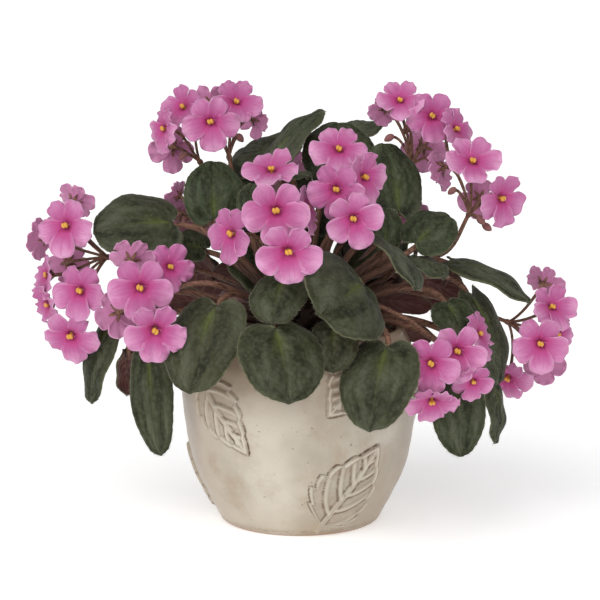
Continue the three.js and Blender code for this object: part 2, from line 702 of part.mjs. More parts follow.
function makeSpray({ curve, joint, blooms, buds }) {
  const fork = curve.getPointAt(1);
  const leaving = curve.getTangentAt(1);
  const upper = new Stretch(curve, joint, 1);
  const knot = new THREE.OctahedronGeometry(KNOT_RADIUS);
  knot.translate(fork.x, fork.y, fork.z);
  const pieces = [toSolid(knot), rod(upper, STALK_RADIUS, STALK_TIP_RADIUS, STALK_SIDES, STALK_STEPS)];
  for (const bloom of blooms) {
    const rise = THROAT_RISE * BLOOM_RADIUS * bloom.size;
    const end = bloom.centre.clone().addScaledVector(bloom.face, PEDICEL_REACH * rise);
    pieces.push(makePedicel(fork, leaving, end, bloom.face, PEDICEL_END_RADIUS, PEDICEL_STEPS));
    pieces.push(makeBloom(bloom));
  }
  for (const centre of buds) {
    const hanging = centre.clone().sub(fork).setZ(-BUD_DROOP).normalize();
    const bud = new THREE.OctahedronGeometry(BUD_RADIUS);
    bud.scale(0.85, 0.85, 1.3);
    bud.applyQuaternion(new THREE.Quaternion().setFromUnitVectors(UP, hanging));
    bud.translate(centre.x, centre.y, centre.z);
    pieces.push(makePedicel(fork, leaving, centre, hanging, PEDICEL_RADIUS, BUD_STALK_STEPS));
    pieces.push(toSolid(bud));
  }
  return joined(pieces);
}

const frames = {};
for (const [name, leaf] of Object.entries(LEAVES)) {
  frames[name] = bladeFrame({ ...leaf, base: seen(leaf.base), tip: seen(leaf.tip) });
}
for (const [name, leaf] of Object.entries(FAR_LEAVES)) {
  const base = around([leaf.bearing, ...leaf.base]);
  const tip = around([leaf.bearing, ...leaf.tip]);
  frames[name] = bladeFrame({ base, tip, width: leaf.width, turn: 0 });
}

const sprays = {};
for (const [name, spray] of Object.entries(SPRAYS)) {
  sprays[name] = {
    curve: stalkCurve(spray.stalk.map(seen)),
    joint: spray.joint ?? STALK_JOINT,
    blooms: spray.blooms.map(([across, down, depth, turn, tip, roll, size]) => ({
      centre: seen([across, down, depth]),
      face: facing(turn, tip),
      roll,
      size,
    })),
    buds: spray.buds.map(seen),
  };
}
for (const [name, spray] of Object.entries(FAR_SPRAYS)) {
  sprays[name] = {
    curve: stalkCurve(spray.stalk.map(around)),
    joint: spray.joint ?? STALK_JOINT,
    blooms: spray.blooms.map(([bearing, radius, height, turn, tip, roll, size]) => ({
      centre: around([bearing, radius, height]),
      face: facing(bearing + turn, tip),
      roll,
      size,
    })),
    buds: [],
  };
}

function makeCrown() {
  const petioles = Object.values(frames).map(makePetiole);
  const stubs = Object.values(sprays).map(({ curve, joint }) => {
    const lower = new Stretch(curve, 0, joint - GAP / curve.getLength());
    return rod(lower, STUB_RADIUS, STALK_RADIUS, STALK_SIDES, STUB_STEPS);
  });
  return joined([makeNeck(), ...petioles, ...stubs]);
}

const plant = new THREE.Group();

function addMesh(name, geometry, material) {
  const mesh = new THREE.Mesh(geometry, material);
  mesh.name = name;
  plant.add(mesh);
}

addMesh("pot", toGeometry(makePot()), glaze);
addMesh("soil", toGeometry(makeSoil()), earth);
addMesh("crown", toGeometry(makeCrown()), stem);
for (const [name, frame] of Object.entries(frames)) {
  addMesh(`leaf_${name}`, makeBlade(frame), green);
}
for (const [name, spray] of Object.entries(sprays)) {
  addMesh(`spray_${name}`, toGeometry(makeSpray(spray)), pink);
}

export default plant;
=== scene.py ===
"""A pink African violet in full bloom, in a glazed, round-bellied pot with raised leaves.

The pot, the soil, the crown with its petioles, every leaf blade and every flower spray are
modelled at their real size, in metres. The origin is the middle of the pot's foot, +Z is up and
the front faces -Y.
"""

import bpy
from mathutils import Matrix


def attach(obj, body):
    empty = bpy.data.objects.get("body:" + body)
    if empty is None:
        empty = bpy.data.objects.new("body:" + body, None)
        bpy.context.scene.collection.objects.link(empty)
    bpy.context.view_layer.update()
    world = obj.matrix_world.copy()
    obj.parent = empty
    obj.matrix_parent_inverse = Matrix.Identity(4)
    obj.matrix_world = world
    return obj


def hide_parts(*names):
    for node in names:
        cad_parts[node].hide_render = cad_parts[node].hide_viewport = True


bl_info = {
    "name": "Potted African Violet",
    "version": (1, 0, 0),
    "blender": (4, 5, 0),
    "location": "3D View > Sidebar > Violet",
    "description": "Builds a potted African violet in bloom, with its glazed pot and a plain stage",
    "category": "Add Mesh",
}

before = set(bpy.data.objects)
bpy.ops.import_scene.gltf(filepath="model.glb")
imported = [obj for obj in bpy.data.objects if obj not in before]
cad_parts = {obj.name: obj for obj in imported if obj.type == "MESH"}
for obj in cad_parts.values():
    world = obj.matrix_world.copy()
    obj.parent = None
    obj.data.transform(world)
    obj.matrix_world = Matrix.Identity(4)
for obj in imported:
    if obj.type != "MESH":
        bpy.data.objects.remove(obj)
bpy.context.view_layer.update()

import functools
import math
import random
from collections import namedtuple

import bmesh
import bpy
import numpy as np
from bpy.props import FloatProperty, FloatVectorProperty, IntProperty, PointerProperty
from mathutils import Matrix, Vector

MM = 0.001
SEED = 7
UP = Vector((0, 0, 1))

# The viewpoint that the places of leaves and blooms are read from: a point is given by where it
# shows in a 600 pixel square frame, and by how far it lies behind the pot's axis, in millimetres
VIEW_DISTANCE = 1400 * MM
VIEW_ELEVATION = math.radians(10.2)
VIEW_AIM = Vector((0, 0, 125.7 * MM))
VIEW_FOCAL = 2478
VIEW_SIDE = 600
VIEW_CENTRE = VIEW_SIDE / 2
SENSOR = 36
VIEW_FORWARD = Vector((0, math.cos(VIEW_ELEVATION), -math.sin(VIEW_ELEVATION)))
VIEW_UPWARD = Vector((0, math.sin(VIEW_ELEVATION), math.cos(VIEW_ELEVATION)))
VIEW_EYE = VIEW_AIM - VIEW_DISTANCE * VIEW_FORWARD

# The pot: its outer profile is [radius, height] from foot to lip, in millimetres
POT_PROFILE = [(44.5, 0), (53.0, 15), (60.9, 33), (65.0, 55), (67.2, 76), (64.6, 95), (59.5, 109)]
POT_FLOOR = 9
POT_FOOT_EDGE = 1.2
POT_LIP_RADIUS = 2.7
POT_SIDES = 240
POT_ROWS = 90
POT_INNER_ROWS = 18
POT_LIP_ROWS = 10
POT_BARE_HEIGHT = 1.9
POT_FOOT_STAIN = 0.4
POT_FOOT_STAIN_HEIGHT = 2.8

# The unevenness of the hand-thrown wall: each swell as (size, turns round the pot, start, climb)
WALL_SWELLS = [(0.22, 2, 0.7, 0.03), (0.16, 3, 2.1, -0.06), (0.1, 7, 0, 0.11)]
THROWING_RINGS = 0.07
THROWING_RING_PITCH = 0.55

# The soil, in millimetres, with the loose grains that lie on it
SOIL_TOP = 99
SOIL_RISE = 2
SOIL_GAP = 0.7
SOIL_FLOOR_GAP = 0.4
SOIL_SIDE_HEIGHTS = (25, 39, 55, 71, 85)
SOIL_SIDES = 120
SOIL_RINGS = 24
SOIL_UNEVENNESS = (-0.7, 0.5)
SOIL_GRAINS = 420
SOIL_GRAIN_RADII = (0.5, 1.5)
PERLITE_EVERY = 12
PERLITE_COLORS = ((0.5, 0.47, 0.42), (0.75, 0.73, 0.68))

# Raised leaves on the pot: bearing and height of the stem and of the tip, and the width. Their
# outline is fullest near the stem, and their veins lean more towards the tip
Relief = namedtuple("Relief", "stem tip width")
RELIEFS = [
    Relief((-53, 88), (-26, 50), 33),
    Relief((14, 8), (42, 53), 43),
    Relief((34, 100), (13, 73), 34),
    Relief((-97, 7), (-84, 45), 32),
    Relief((-118, 93), (-88, 76), 30),
    Relief((126, 42), (92, 66), 32),
    Relief((88, 78), (62, 102), 28),
    Relief((141, 94), (166, 62), 33),
    Relief((-172, 8), (-157, 50), 34),
    Relief((-148, 98), (-176, 74), 32),
]
RELIEF_FULLNESS = 0.63
RELIEF_TEETH = 6
RELIEF_VEINS = 5
RELIEF_VEIN_LEANS = (0.45, 1.9)
RELIEF_ROWS = 100
RELIEF_COLUMNS = 60
RELIEF_STALK = 0.11
RELIEF_MARGIN = 2.6
RELIEF_BORDER = 5.2
RELIEF_SINK = 0.5
RELIEF_LOWEST = 1.6

# How far the parts of a raised leaf stand out of the wall, and how wide they are, in millimetres
RELIEF_BODY_LIFT = 0.3
RELIEF_RIM_LIFT = 1.3
RELIEF_MIDRIB_LIFT = 1.45
RELIEF_GROOVE_DEPTH = 0.6
RELIEF_VEIN_LIFT = 1.2
RELIEF_STALK_LIFT = 1.2
RELIEF_RIM_WIDTH = 0.8
RELIEF_MIDRIB_WIDTHS = (1.6, 0.8)
RELIEF_GROOVE_WIDTH = 0.4
RELIEF_VEIN_WIDTH = 0.95
RELIEF_STALK_WIDTH = 1.5

# Where brown glaze lies in a raised leaf, counted from its edge, its midrib and its veins
STAIN_FROM_EDGE = 2.2
STAIN_FROM_MIDRIB = 2.4
STAIN_FROM_VEIN = 1.7
STAIN_WIDTH = 0.6

# Leaf blades: the notch where the petiole joins and the tip as (across, down, depth), the width,
# how far the blade is turned about its length, how green it is and how strong the painted grey sheen of its
# hairs is
Leaf = namedtuple("Leaf", "base tip width turn green grey")
LEAVES = {
    "front_left": Leaf((216, 306, -49), (190, 394, -73), 46, 0, 0.15, 0.1),
    "front_middle": Leaf((275, 329, -70), (290, 404, -97), 46, 0, 0.3, 0.25),
    "front_small": Leaf((283, 279, -50), (272, 325, -70), 31, 0, 0.3, 0.1),
    "front_shade": Leaf((334, 326, -57), (333, 373, -69), 26, 0, 0.1, 0.0),
    "front_right": Leaf((387, 347, -62), (370, 432, -90), 42, 0, 0.25, 0.35),
    "front_top": Leaf((361, 284, -44), (319, 316, -86), 56, -52, 0.3, 0.75),
    "left_low": Leaf((149, 352, -26), (161, 456, -41), 24, 36, 0.35, 0.25),
    "left_narrow": Leaf((115, 318, 6), (91, 404, 0), 24, -16, 0.3, 0.1),
    "left_under": Leaf((126, 351, 34), (131, 395, 46), 19, -65, 0.3, 0.1),
    "left_big": Leaf((172, 223, 8), (93, 233, 2), 53, -34, 0.35, 0.4),
    "left_round": Leaf((214, 219, 16), (213, 161, 34), 33, 0, 0.9, 0.2),
    "left_small": Leaf((204, 249, 26), (166, 243, 34), 22, -40, 0.7, 0.1),
    "top_left": Leaf((279, 160, 44), (243, 148, 74), 46, -28, 0.4, 0.5),
    "top_long": Leaf((270, 168, 22), (324, 110, 42), 26, 4, 0.5, 0.6),
    "top_middle": Leaf((340, 178, 26), (337, 122, 48), 41, 0, 0.5, 0.3),
    "top_right": Leaf((348, 136, 66), (378, 123, 96), 27, 0, 0.5, 0.6),
    "right_tall": Leaf((399, 213, 18), (383, 143, 40), 33, 0, 0.8, 0.3),
    "right_round": Leaf((416, 244, -6), (450, 216, 8), 31, 30, 0.85, 0.25),
    "right_small": Leaf((386, 246, 4), (386, 208, 11), 19, 0, 0.8, 0.1),
    "right_grey": Leaf((379, 238, -22), (416, 290, -54), 32, -30, 0.5, 1.0),
    "right_fold": Leaf((414, 257, -6), (445, 279, -20), 24, 0, 0.6, 0.7),
    "right_long": Leaf((453, 262, 14), (530, 303, 4), 32, 6, 0.45, 0.6),
    "right_shade": Leaf((447, 303, -12), (464, 338, -22), 25, 20, 0.7, 0.3),
    "right_spike": Leaf((471, 296, 8), (499, 384, 2), 32, 16, 0.4, 0.3),
    "right_low": Leaf((453, 368, -26), (461, 457, -40), 31, 10, 0.5, 0.3),
    "right_narrow": Leaf((492, 384, 2), (495, 444, 0), 19, -12, 0.5, 0.3),
    "right_back": Leaf((398, 274, 34), (462, 296, 44), 34, -62, 0.4, 0.3),
    "left_back": Leaf((216, 272, 44), (150, 285, 56), 34, 62, 0.4, 0.3),
    "middle_small": Leaf((251, 216, 8), (252, 184, 16), 16, 0, 0.7, 0.2),
    "middle_top": Leaf((284, 173, -4), (309, 178, -14), 19, 0, 0.8, 0.2),
}

# Leaves of the far side: base and tip are (bearing, radius, height)
FAR_LEAVES = {
    "far_right": Leaf((142, 48, 132), (142, 78, 162), 42, 0, 0.5, 0.3),
    "far_middle_low": Leaf((163, 74, 122), (163, 112, 92), 44, 0, 0.3, 0.4),
    "far_middle": Leaf((184, 46, 132), (184, 70, 165), 42, 0, 0.6, 0.3),
    "far_left_low": Leaf((206, 76, 122), (206, 116, 94), 44, 0, 0.4, 0.4),
    "far_right_upper": Leaf((150, 38, 160), (150, 66, 184), 27, 0, 0.7, 0.3),
    "far_left_upper": Leaf((200, 38, 160), (200, 66, 182), 27, 0, 0.6, 0.4),
}

# Small young leaves that fill the heart of the crown between the petioles, placed as LEAVES are
YOUNG_LEAVES = {
    "young_left": Leaf((264, 291, 20), (212, 275, 38), 28, 62, 0.2, 0.0),
    "young_left_low": Leaf((204, 300, 10), (150, 309, 26), 19, 64, 0.2, 0.0),
    "young_left_high": Leaf((264, 286, 18), (232, 246, 44), 30, 0, 0.3, 0.0),
    "young_left_top": Leaf((262, 262, 32), (245, 222, 56), 22, 0, 0.3, 0.0),
    "young_right": Leaf((372, 300, 14), (432, 309, 26), 18, -62, 0.2, 0.0),
    "young_right_low": Leaf((392, 330, 0), (434, 340, 12), 14, -60, 0.2, 0.0),
    "young_right_high": Leaf((350, 286, 20), (393, 276, 38), 18, -60, 0.2, 0.0),
    "young_right_top": Leaf((394, 264, 18), (411, 238, 32), 15, -30, 0.5, 0.1),
    "young_top": Leaf((284, 218, 28), (305, 174, 46), 24, 0, 0.5, 0.1),
    "young_top_left": Leaf((256, 206, 30), (246, 176, 46), 18, 0, 0.5, 0.1),
}

# The outline of half a blade, as shares of its length and width, from the notch to the tip
BLADE_OUTLINE = [(0, 0), (-0.1, 0.2), (0.05, 0.42), (0.37, 0.51), (0.7, 0.43), (0.93, 0.22), (1, 0)]

# A blade's form: its cup, arch, groove and teeth are shares of its size, the rest is in millimetres
BLADE_CUP = 0.16
BLADE_ARCH = 0.12
BLADE_GROOVE = 0.05
BLADE_TEETH = 26
BLADE_TOOTH = 0.014
BLADE_WAVES = 3.5
BLADE_WAVE = 0.9
BLADE_VEINS = 6.5
BLADE_VEIN_LEAN = 0.42
BLADE_QUILT = 0.55
BLADE_QUILT_SINK = 0.35
BLADE_RIB_SINK = 0.5
BLADE_ROWS = 42
BLADE_COLUMNS = 28
YOUNG_FINENESS = 0.5

# The lengths that hairs are drawn from, in millimetres
MARGIN_HAIR_LENGTHS = (0.7, 1.5)
SURFACE_HAIR_LENGTHS = (0.6, 1.2)
STEM_HAIR_LENGTHS = (0.7, 1.4)

# The crown: its neck stands in the soil and its head carries the petioles and the stalks
NECK_RADIUS = 8
NECK_FOOT = 80
NECK_TOP = 121
NECK_SIDES = 32
CROWN_RADIUS = 14
PETIOLE_RADIUS = 2.3
PETIOLE_TIP_RADIUS = 1.6
PETIOLE_STEPS = 26
PETIOLE_LOWEST_ROOT = 106

# How a petiole sets out, for the lowest leaves and for the highest ones: outwards and upwards
LOW_LEAF = 112
HIGH_LEAF = 192
PETIOLE_OUTWARDS = (1, 0.55)
PETIOLE_UPWARDS = (0.62, 0.95)
PETIOLE_HANDLES = (0.36, 0.3)
PETIOLE_UNDER_BLADE = 0.16

# Flower stalks, which the crown carries up to a joint, and the pedicels that they fork into
STALK_RADIUS = 1.5
STALK_TIP_RADIUS = 1
STALK_STEPS = 36
STUB_RADIUS = 1.8
STALK_JOINT = 0.42
PEDICEL_RADIUS = 0.75
PEDICEL_BLOOM_RADIUS = 1.25
PEDICEL_BUD_RADIUS = 0.9
PEDICEL_HANDLE = 0.35
PEDICEL_STEPS = 12

# Petals: bearing from the bloom's top, reach and half width as shares of its radius, and how far
# it lies behind the bloom's own surface, so that neighbours overlap
Petal = namedtuple("Petal", "bearing reach half sunk")
PETALS = [
    Petal(-34, 0.86, 0.33, 0.035),
    Petal(34, 0.86, 0.33, 0.02),
    Petal(107, 0.98, 0.42, 0.01),
    Petal(-107, 0.98, 0.42, 0.0),
    Petal(180, 1.0, 0.43, -0.02),
]

# A petal's half outline from its foot to its tip, the share at which its rounded end begins, and
# how far a bloom's surface lies in front of its middle, as (share of the radius, height)
PETAL_OUTLINE = [(0.0, 0.15), (0.2, 0.28), (0.42, 0.42), (0.68, 0.5), (0.89, 0.38), (1.0, 0.0)]
PETAL_MIDDLE = 0.62
PETAL_HEIGHTS = [(0, -0.14), (0.1, -0.04), (0.26, 0.07), (0.45, 0.125), (0.75, 0.14), (1.05, 0.1)]
PETAL_ROWS = 16
PETAL_COLUMNS = 12

# How blooms and petals differ: each value is drawn from its range
BLOOM_CUPS = (-0.1, 0.28)
BLOOM_AGES = (-0.2, 0.35)
PETAL_SWAYS = (-4, 4)
PETAL_REACHES = (0.95, 1.03)
PETAL_WIDTHS = (0.94, 1.06)
PETAL_RUFFLES = (4, 5, 6, 7)
PETAL_FRILLS = (0.03, 0.08)
PETAL_FOLDS = (0.008, 0.026)
PETAL_FOLD_COUNT = 14
PETAL_CURLS = (-0.3, 0.1)
PETAL_UPPER_CURLS = (-0.3, 0.25)
PETAL_BOWS = (-0.24, 0.05)
PETAL_TWISTS = (-0.22, 0.22)
PETAL_TONES = (0, 0.35)
# painted shade added to the tone of the two upper petals
PETAL_UPPER_PAINTED_SHADE = 0.6

# Sepals, as shares of the bloom's radius, and the closed buds and the fork of the pedicels
SEPAL_OUTLINE = [(0.0, 0.25), (0.4, 0.5), (0.75, 0.3), (1.0, 0.0)]
SEPALS = 5
SEPAL_LENGTH = 0.36
SEPAL_WIDTH = 0.14
SEPAL_THICKNESS = 0.5 * MM
BUD_RADIUS = 2.5
FORK_RADIUS = 2.1

# An anther lobe's half width, height and depth, and how far it lies beside the middle, as shares
# of the bloom's radius
ANTHER_SHAPE = (0.06, 0.092, 0.08)
ANTHER_SPACING = 0.047

# Flower sprays: the stalk's points, then each bloom as (across, down, depth, turned right,
# tipped up, rolled, size), then the buds, and the share of the stalk that the crown carries
Spray = namedtuple("Spray", "stalk blooms buds joint", defaults=((), STALK_JOINT))
SPRAYS = {
    "upper_left_inner": Spray(
        [(268, 262, 10), (240, 205, 34), (229, 157, 36)],
        [
            (210.6, 121.5, 28, -2, 4, 5, 1.0),
            (236, 102.5, 40, 14, 34, 0, 0.92),
            (254, 118, 62, 130, 0, 0, 0.74),
            (210, 102, 60, 190, 20, 0, 0.7),
        ],
        [(240, 138, 40)],
    ),
    "upper_left_outer": Spray(
        [(262, 268, 30), (225, 205, 58), (200, 162, 50)],
        [
            (184, 107.5, 44, -40, 30, -10, 0.86),
            (165, 128.5, 34, -58, 4, 0, 0.86),
            (172, 147, 58, 200, -15, 0, 0.86),
        ],
        [(183, 156, 42)],
    ),
    "left_bud": Spray(
        [(250, 285, 30), (215, 240, 42), (196, 222, 42)],
        [(178, 195, 42, -120, 20, 0, 0.62)],
        [(168, 211, 38), (177, 216, 34), (186, 219, 42)],
        0.72,
    ),
    "far_left": Spray(
        [(240, 285, 18), (170, 262, 40), (108, 257, 14)],
        [
            (66.5, 225.5, 0, -24, 10, 0, 1.04),
            (81, 290.5, -6, -26, 4, 0, 1.02),
            (48, 275, 14, -68, 8, 0, 0.85),
            (49, 304, 10, -60, -14, 20, 0.88),
            (71, 334.5, -2, -16, -24, 0, 1.04),
            (45, 237, 34, -130, 10, 0, 0.84),
            (75, 200, 30, 150, 30, 0, 0.76),
            (68, 262, 28, 165, -6, 0, 0.8),
        ],
    ),
    "left_middle": Spray(
        [(250, 296, -26), (205, 283, -50), (160, 292, -28)],
        [
            (140.5, 287.5, -52, -5, 4, 0, 1.1),
            (169.5, 266.5, -46, 24, 6, 0, 0.88),
            (155, 329.5, -64, 6, -16, 0, 1.08),
            (132, 258, -22, 170, 30, 0, 0.8),
            (117, 312, -24, 210, -10, 0, 0.85),
        ],
        (),
        0.6,
    ),
    "middle_left": Spray(
        [(285, 282, -24), (272, 262, -38), (262, 240, -30)],
        [
            (276, 210.5, -58, 0, 6, 0, 1.12),
            (288.5, 251, -74, 2, -8, 0, 1.08),
            (232.5, 233.5, -46, -46, 4, 0, 1.02),
            (271.5, 171, -34, -8, 56, 0, 0.98),
            (305, 208, -34, 70, 10, 0, 0.9),
        ],
    ),
    "middle_top": Spray(
        [(312, 270, -6), (330, 232, -12), (346, 205, -8)],
        [
            (339, 150, -24, 0, 36, 0, 0.98),
            (336.5, 189, -42, -6, 0, 0, 1.0),
            (363.5, 177, -30, 42, 6, 10, 0.98),
            (353, 218, -48, 4, -4, 20, 1.0),
        ],
    ),
    "upper_right_inner": Spray(
        [(345, 262, 24), (395, 205, 50), (412, 165, 44)],
        [
            (400, 101, 34, 0, 36, 0, 0.86),
            (432, 116, 30, 6, 14, 0, 0.96),
            (385, 108, 54, 210, 10, 0, 0.66),
            (424, 147, 62, 175, -10, 0, 0.85),
        ],
        [(389, 138, 42), (407, 129, 46), (430, 159, 48)],
    ),
    "upper_right_outer": Spray(
        [(345, 285, 12), (400, 263, 26), (446, 252, 22), (469, 214, 16)],
        [
            (455, 129.5, 22, 56, 22, 0, 0.88),
            (472.5, 162, 4, 6, 40, 0, 1.0),
            (500.5, 198, 8, 38, -4, 0, 1.0),
            (441, 168, 34, 240, -20, 0, 0.78),
            (479, 197, 30, 190, 0, 0, 0.74),
        ],
        [(452, 191, 18), (481, 220, 12), (487, 227, 16)],
    ),
    "right_low": Spray(
        [(352, 300, -24), (405, 318, -34), (440, 345, -34)],
        [
            (431, 363, -62, -4, 0, 0, 1.0),
            (457, 351, -52, 6, 4, 0, 1.0),
            (473, 381, -52, 14, -22, 0, 0.72),
            (432, 400, -58, 2, -46, 0, 0.95),
            (478, 334, -28, 68, 16, 0, 0.9),
        ],
    ),
    "far_right": Spray(
        [(360, 290, 6), (440, 298, 26), (508, 322, 32)],
        [
            (540, 343.5, -2, 4, 4, 0, 1.0),
            (551, 307.5, 12, 34, 30, 0, 0.92),
            (544, 282, 34, 150, 30, 0, 0.74),
            (557, 334, 28, 40, -4, 0, 0.74),
            (508, 377, 32, -22, -36, 0, 0.95),
            (545, 362, 34, 175, -20, 0, 0.78),
        ],
    ),
}

# Sprays of the far side: points are (bearing, radius, height), a bloom's turn is from its bearing
FAR_SPRAYS = {
    "far_right_high": Spray(
        [(146, 26, 140), (145, 54, 158), (144, 76, 166)],
        [
            (136, 96, 168, -10, 20, 0, 0.95),
            (152, 98, 186, 10, 30, 0, 1.0),
            (145, 100, 156, 0, -6, 0, 0.9),
        ],
    ),
    "far_middle_high": Spray(
        [(178, 26, 150), (174, 48, 172), (174, 66, 180)],
        [
            (166, 84, 180, -12, 20, 0, 1.0),
            (186, 88, 188, 10, 30, 0, 1.05),
        ],
    ),
    "far_left_high": Spray(
        [(220, 26, 142), (221, 54, 156), (220, 76, 162)],
        [
            (212, 98, 174, -8, 22, 0, 1.0),
            (226, 98, 164, 10, 28, 0, 0.95),
            (216, 102, 154, 0, -8, 0, 0.9),
        ],
    ),
}

# Where the large lights shine
KEY_DIRECTION = (0.55, 0.55, -0.85)
FRONT_DIRECTION = (-0.04, 1.0, -0.35)
FILL_DIRECTION = (-0.8, 0.6, -0.7)


def seen(place):
    """The point that shows at (across, down) in the frame and lies `depth` behind the pot's axis."""
    across, down, depth = place
    side = Vector((1, 0, 0)) * (across - VIEW_CENTRE) / VIEW_FOCAL
    ray = VIEW_FORWARD + side - VIEW_UPWARD * (down - VIEW_CENTRE) / VIEW_FOCAL
    return VIEW_EYE + ray * ((depth * MM - VIEW_EYE.y) / ray.y)


def around(place):
    """A point given by its bearing round the pot (0 is the front, 90 is +X), radius and height."""
    bearing, radius, height = place
    angle = math.radians(bearing)
    return Vector((radius * math.sin(angle), -radius * math.cos(angle), height)) * MM


def lerp(start, end, share):
    return start + (end - start) * share


def clamp(value, low=0.0, high=1.0):
    return max(low, min(high, value))


def smooth_step(low, high, value):
    share = clamp((value - low) / (high - low))
    return share * share * (3 - 2 * share)


def bell(distance, width):
    """One at no distance, falling off smoothly on both sides."""
    return math.exp(-((distance / width) ** 2))


def smooth_outline(points, share):
    """The point at a share of a smooth curve through evenly counted 2-D points."""
    last = len(points) - 1
    place = clamp(share) * last
    i = min(int(place), last - 1)
    t = place - i
    a, b, c, d = (points[min(max(k, 0), last)] for k in (i - 1, i, i + 1, i + 2))
    result = []
    for p, q, r, s in zip(a, b, c, d):
        leave = (r - p) / 2
        arrive = (s - q) / 2
        cubic = (2 * q - 2 * r + leave + arrive) * t + (-3 * q + 3 * r - 2 * leave - arrive)
        result.append((cubic * t + leave) * t + q)
    return result


def evenly(points, count):
    """Points at equal distances along a fine polyline, both of its ends included."""
    reached = [0.0]
    for before, after in zip(points, points[1:]):
        reached.append(reached[-1] + (after - before).length)
    result = []
    i = 0
    for step in range(count + 1):
        want = reached[-1] * step / count
        while i < len(points) - 2 and reached[i + 1] < want:
            i += 1
        span = max(reached[i + 1] - reached[i], 1e-9)
        result.append(points[i].lerp(points[i + 1], (want - reached[i]) / span))
    return result


def through(points, fine=24):
    """A fine polyline on a smooth curve through points that lie unevenly far apart."""
    first = points[0] * 2 - points[1]
    final = points[-1] * 2 - points[-2]
    padded = [first, *points, final]
    line = []
    for p, q, r, s in zip(padded, padded[1:], padded[2:], padded[3:]):
        before, here, after = (max((b - a).length, 1e-9) ** 0.5 for a, b in ((p, q), (q, r), (r, s)))
        leave = ((q - p) / before - (r - p) / (before + here) + (r - q) / here) * here
        arrive = ((r - q) / here - (s - q) / (here + after) + (s - r) / after) * here
        for step in range(fine):
            t = step / fine
            cubic = (2 * q - 2 * r + leave + arrive) * t + (-3 * q + 3 * r - 2 * leave - arrive)
            line.append((cubic * t + leave) * t + q)
    return [*line, points[-1]]


def bent(start, leave, arrive, end, steps):
    """Points on a cubic curve from its ends and the handles beside them."""
    points = []
    for step in range(steps + 1):
        t = step / steps
        s = 1 - t
        points.append(start * s**3 + leave * 3 * s * s * t + arrive * 3 * s * t * t + end * t**3)
    return points


class Tree:
    """Adds nodes to a material or a group and wires them; a value may be a number or a socket."""

    def __init__(self, tree):
        self.tree = tree

    def put(self, socket, value):
        if isinstance(value, bpy.types.NodeSocket):
            self.tree.links.new(value, socket)
        else:
            socket.default_value = value

    def add(self, kind, inputs=(), **settings):
        node = self.tree.nodes.new(kind)
        for name, value in settings.items():
            setattr(node, name, value)
        for key, value in dict(inputs).items():
            self.put(node.inputs[key], value)
        return node

    def math(self, operation, first, second=0.0, third=0.0, clamped=False):
        inputs = {0: first, 1: second, 2: third}
        return self.add("ShaderNodeMath", inputs, operation=operation, use_clamp=clamped).outputs[0]

    def times(self, first, second, clamped=False):
        return self.math("MULTIPLY", first, second, clamped=clamped)

    def vector(self, operation, inputs):
        return self.add("ShaderNodeVectorMath", dict(enumerate(inputs)), operation=operation).outputs

    def mix(self, share, first, second):
        """The second colour over the first by a share."""
        node = self.add("ShaderNodeMix", data_type="RGBA")
        sockets = {socket.identifier: socket for socket in node.inputs}
        for key, value in (("Factor_Float", share), ("A_Color", first), ("B_Color", second)):
            self.put(sockets[key], value)
        return next(socket for socket in node.outputs if socket.identifier == "Result_Color")

    def washed(self, body, washes):
        """The body with colours laid over it in turn, each as (share, colour)."""
        for share, color in washes:
            body = self.mix(share, body, rgba(color))
        return body

    def spread(self, value, low, high, to_low=0.0, to_high=1.0):
        """Maps low..high onto to_low..to_high with a smooth, clamped step."""
        inputs = {"Value": value, "From Min": low, "From Max": high, "To Min": to_low, "To Max": to_high}
        return self.add("ShaderNodeMapRange", inputs, interpolation_type="SMOOTHSTEP").outputs["Result"]

    def shared(self, name, inputs):
        """The outputs of the shared node group of that name, which is made at its first use."""
        group = bpy.data.node_groups.get(name) or GROUP_MAKERS[name]()
        return self.add("ShaderNodeGroup", inputs, node_tree=group).outputs

    def mottle(self, place, blotch, **others):
        return self.shared("mottle", {"Place": place, "Blotch": blotch, **others})["Value"]

    def object_place(self):
        return self.add("ShaderNodeTexCoord").outputs["Object"]

    def split(self, vector):
        return self.add("ShaderNodeSeparateXYZ", {"Vector": vector}).outputs

    def joined(self, x, y, z):
        return self.add("ShaderNodeCombineXYZ", {"X": x, "Y": y, "Z": z}).outputs[0]

    def noise(self, place, scale, detail=2.0, roughness=0.5):
        inputs = {"Vector": place, "Scale": scale, "Detail": detail, "Roughness": roughness}
        return self.add("ShaderNodeTexNoise", inputs).outputs["Fac"]

    def cells(self, place, scale, feature, randomness=1.0):
        inputs = {"Vector": place, "Scale": scale, "Randomness": randomness}
        return self.add("ShaderNodeTexVoronoi", inputs, feature=feature).outputs["Distance"]

    def attribute(self, name):
        return self.add("ShaderNodeAttribute", attribute_name=name).outputs["Fac"]

    def uv(self, name):
        """How far along and how far across a sheet a place lies, from 0 to 1."""
        place = self.split(self.add("ShaderNodeUVMap", uv_map=name).outputs["UV"])
        return place["X"], place["Y"]


def group_tree(name, inputs, outputs):
    """A new node group with its tree, the sockets that it is given and those of its results."""
    group = bpy.data.node_groups.new(name, "ShaderNodeTree")
    for label, default in inputs.items():
        kind = "NodeSocketVector" if default is None else "NodeSocketFloat"
        socket = group.interface.new_socket(name=label, in_out="INPUT", socket_type=kind)
        if default is not None:
            socket.default_value = default
    for label in outputs:
        group.interface.new_socket(name=label, in_out="OUTPUT", socket_type="NodeSocketFloat")
    tree = Tree(group)
    return group, tree, tree.add("NodeGroupInput").outputs, tree.add("NodeGroupOutput").inputs


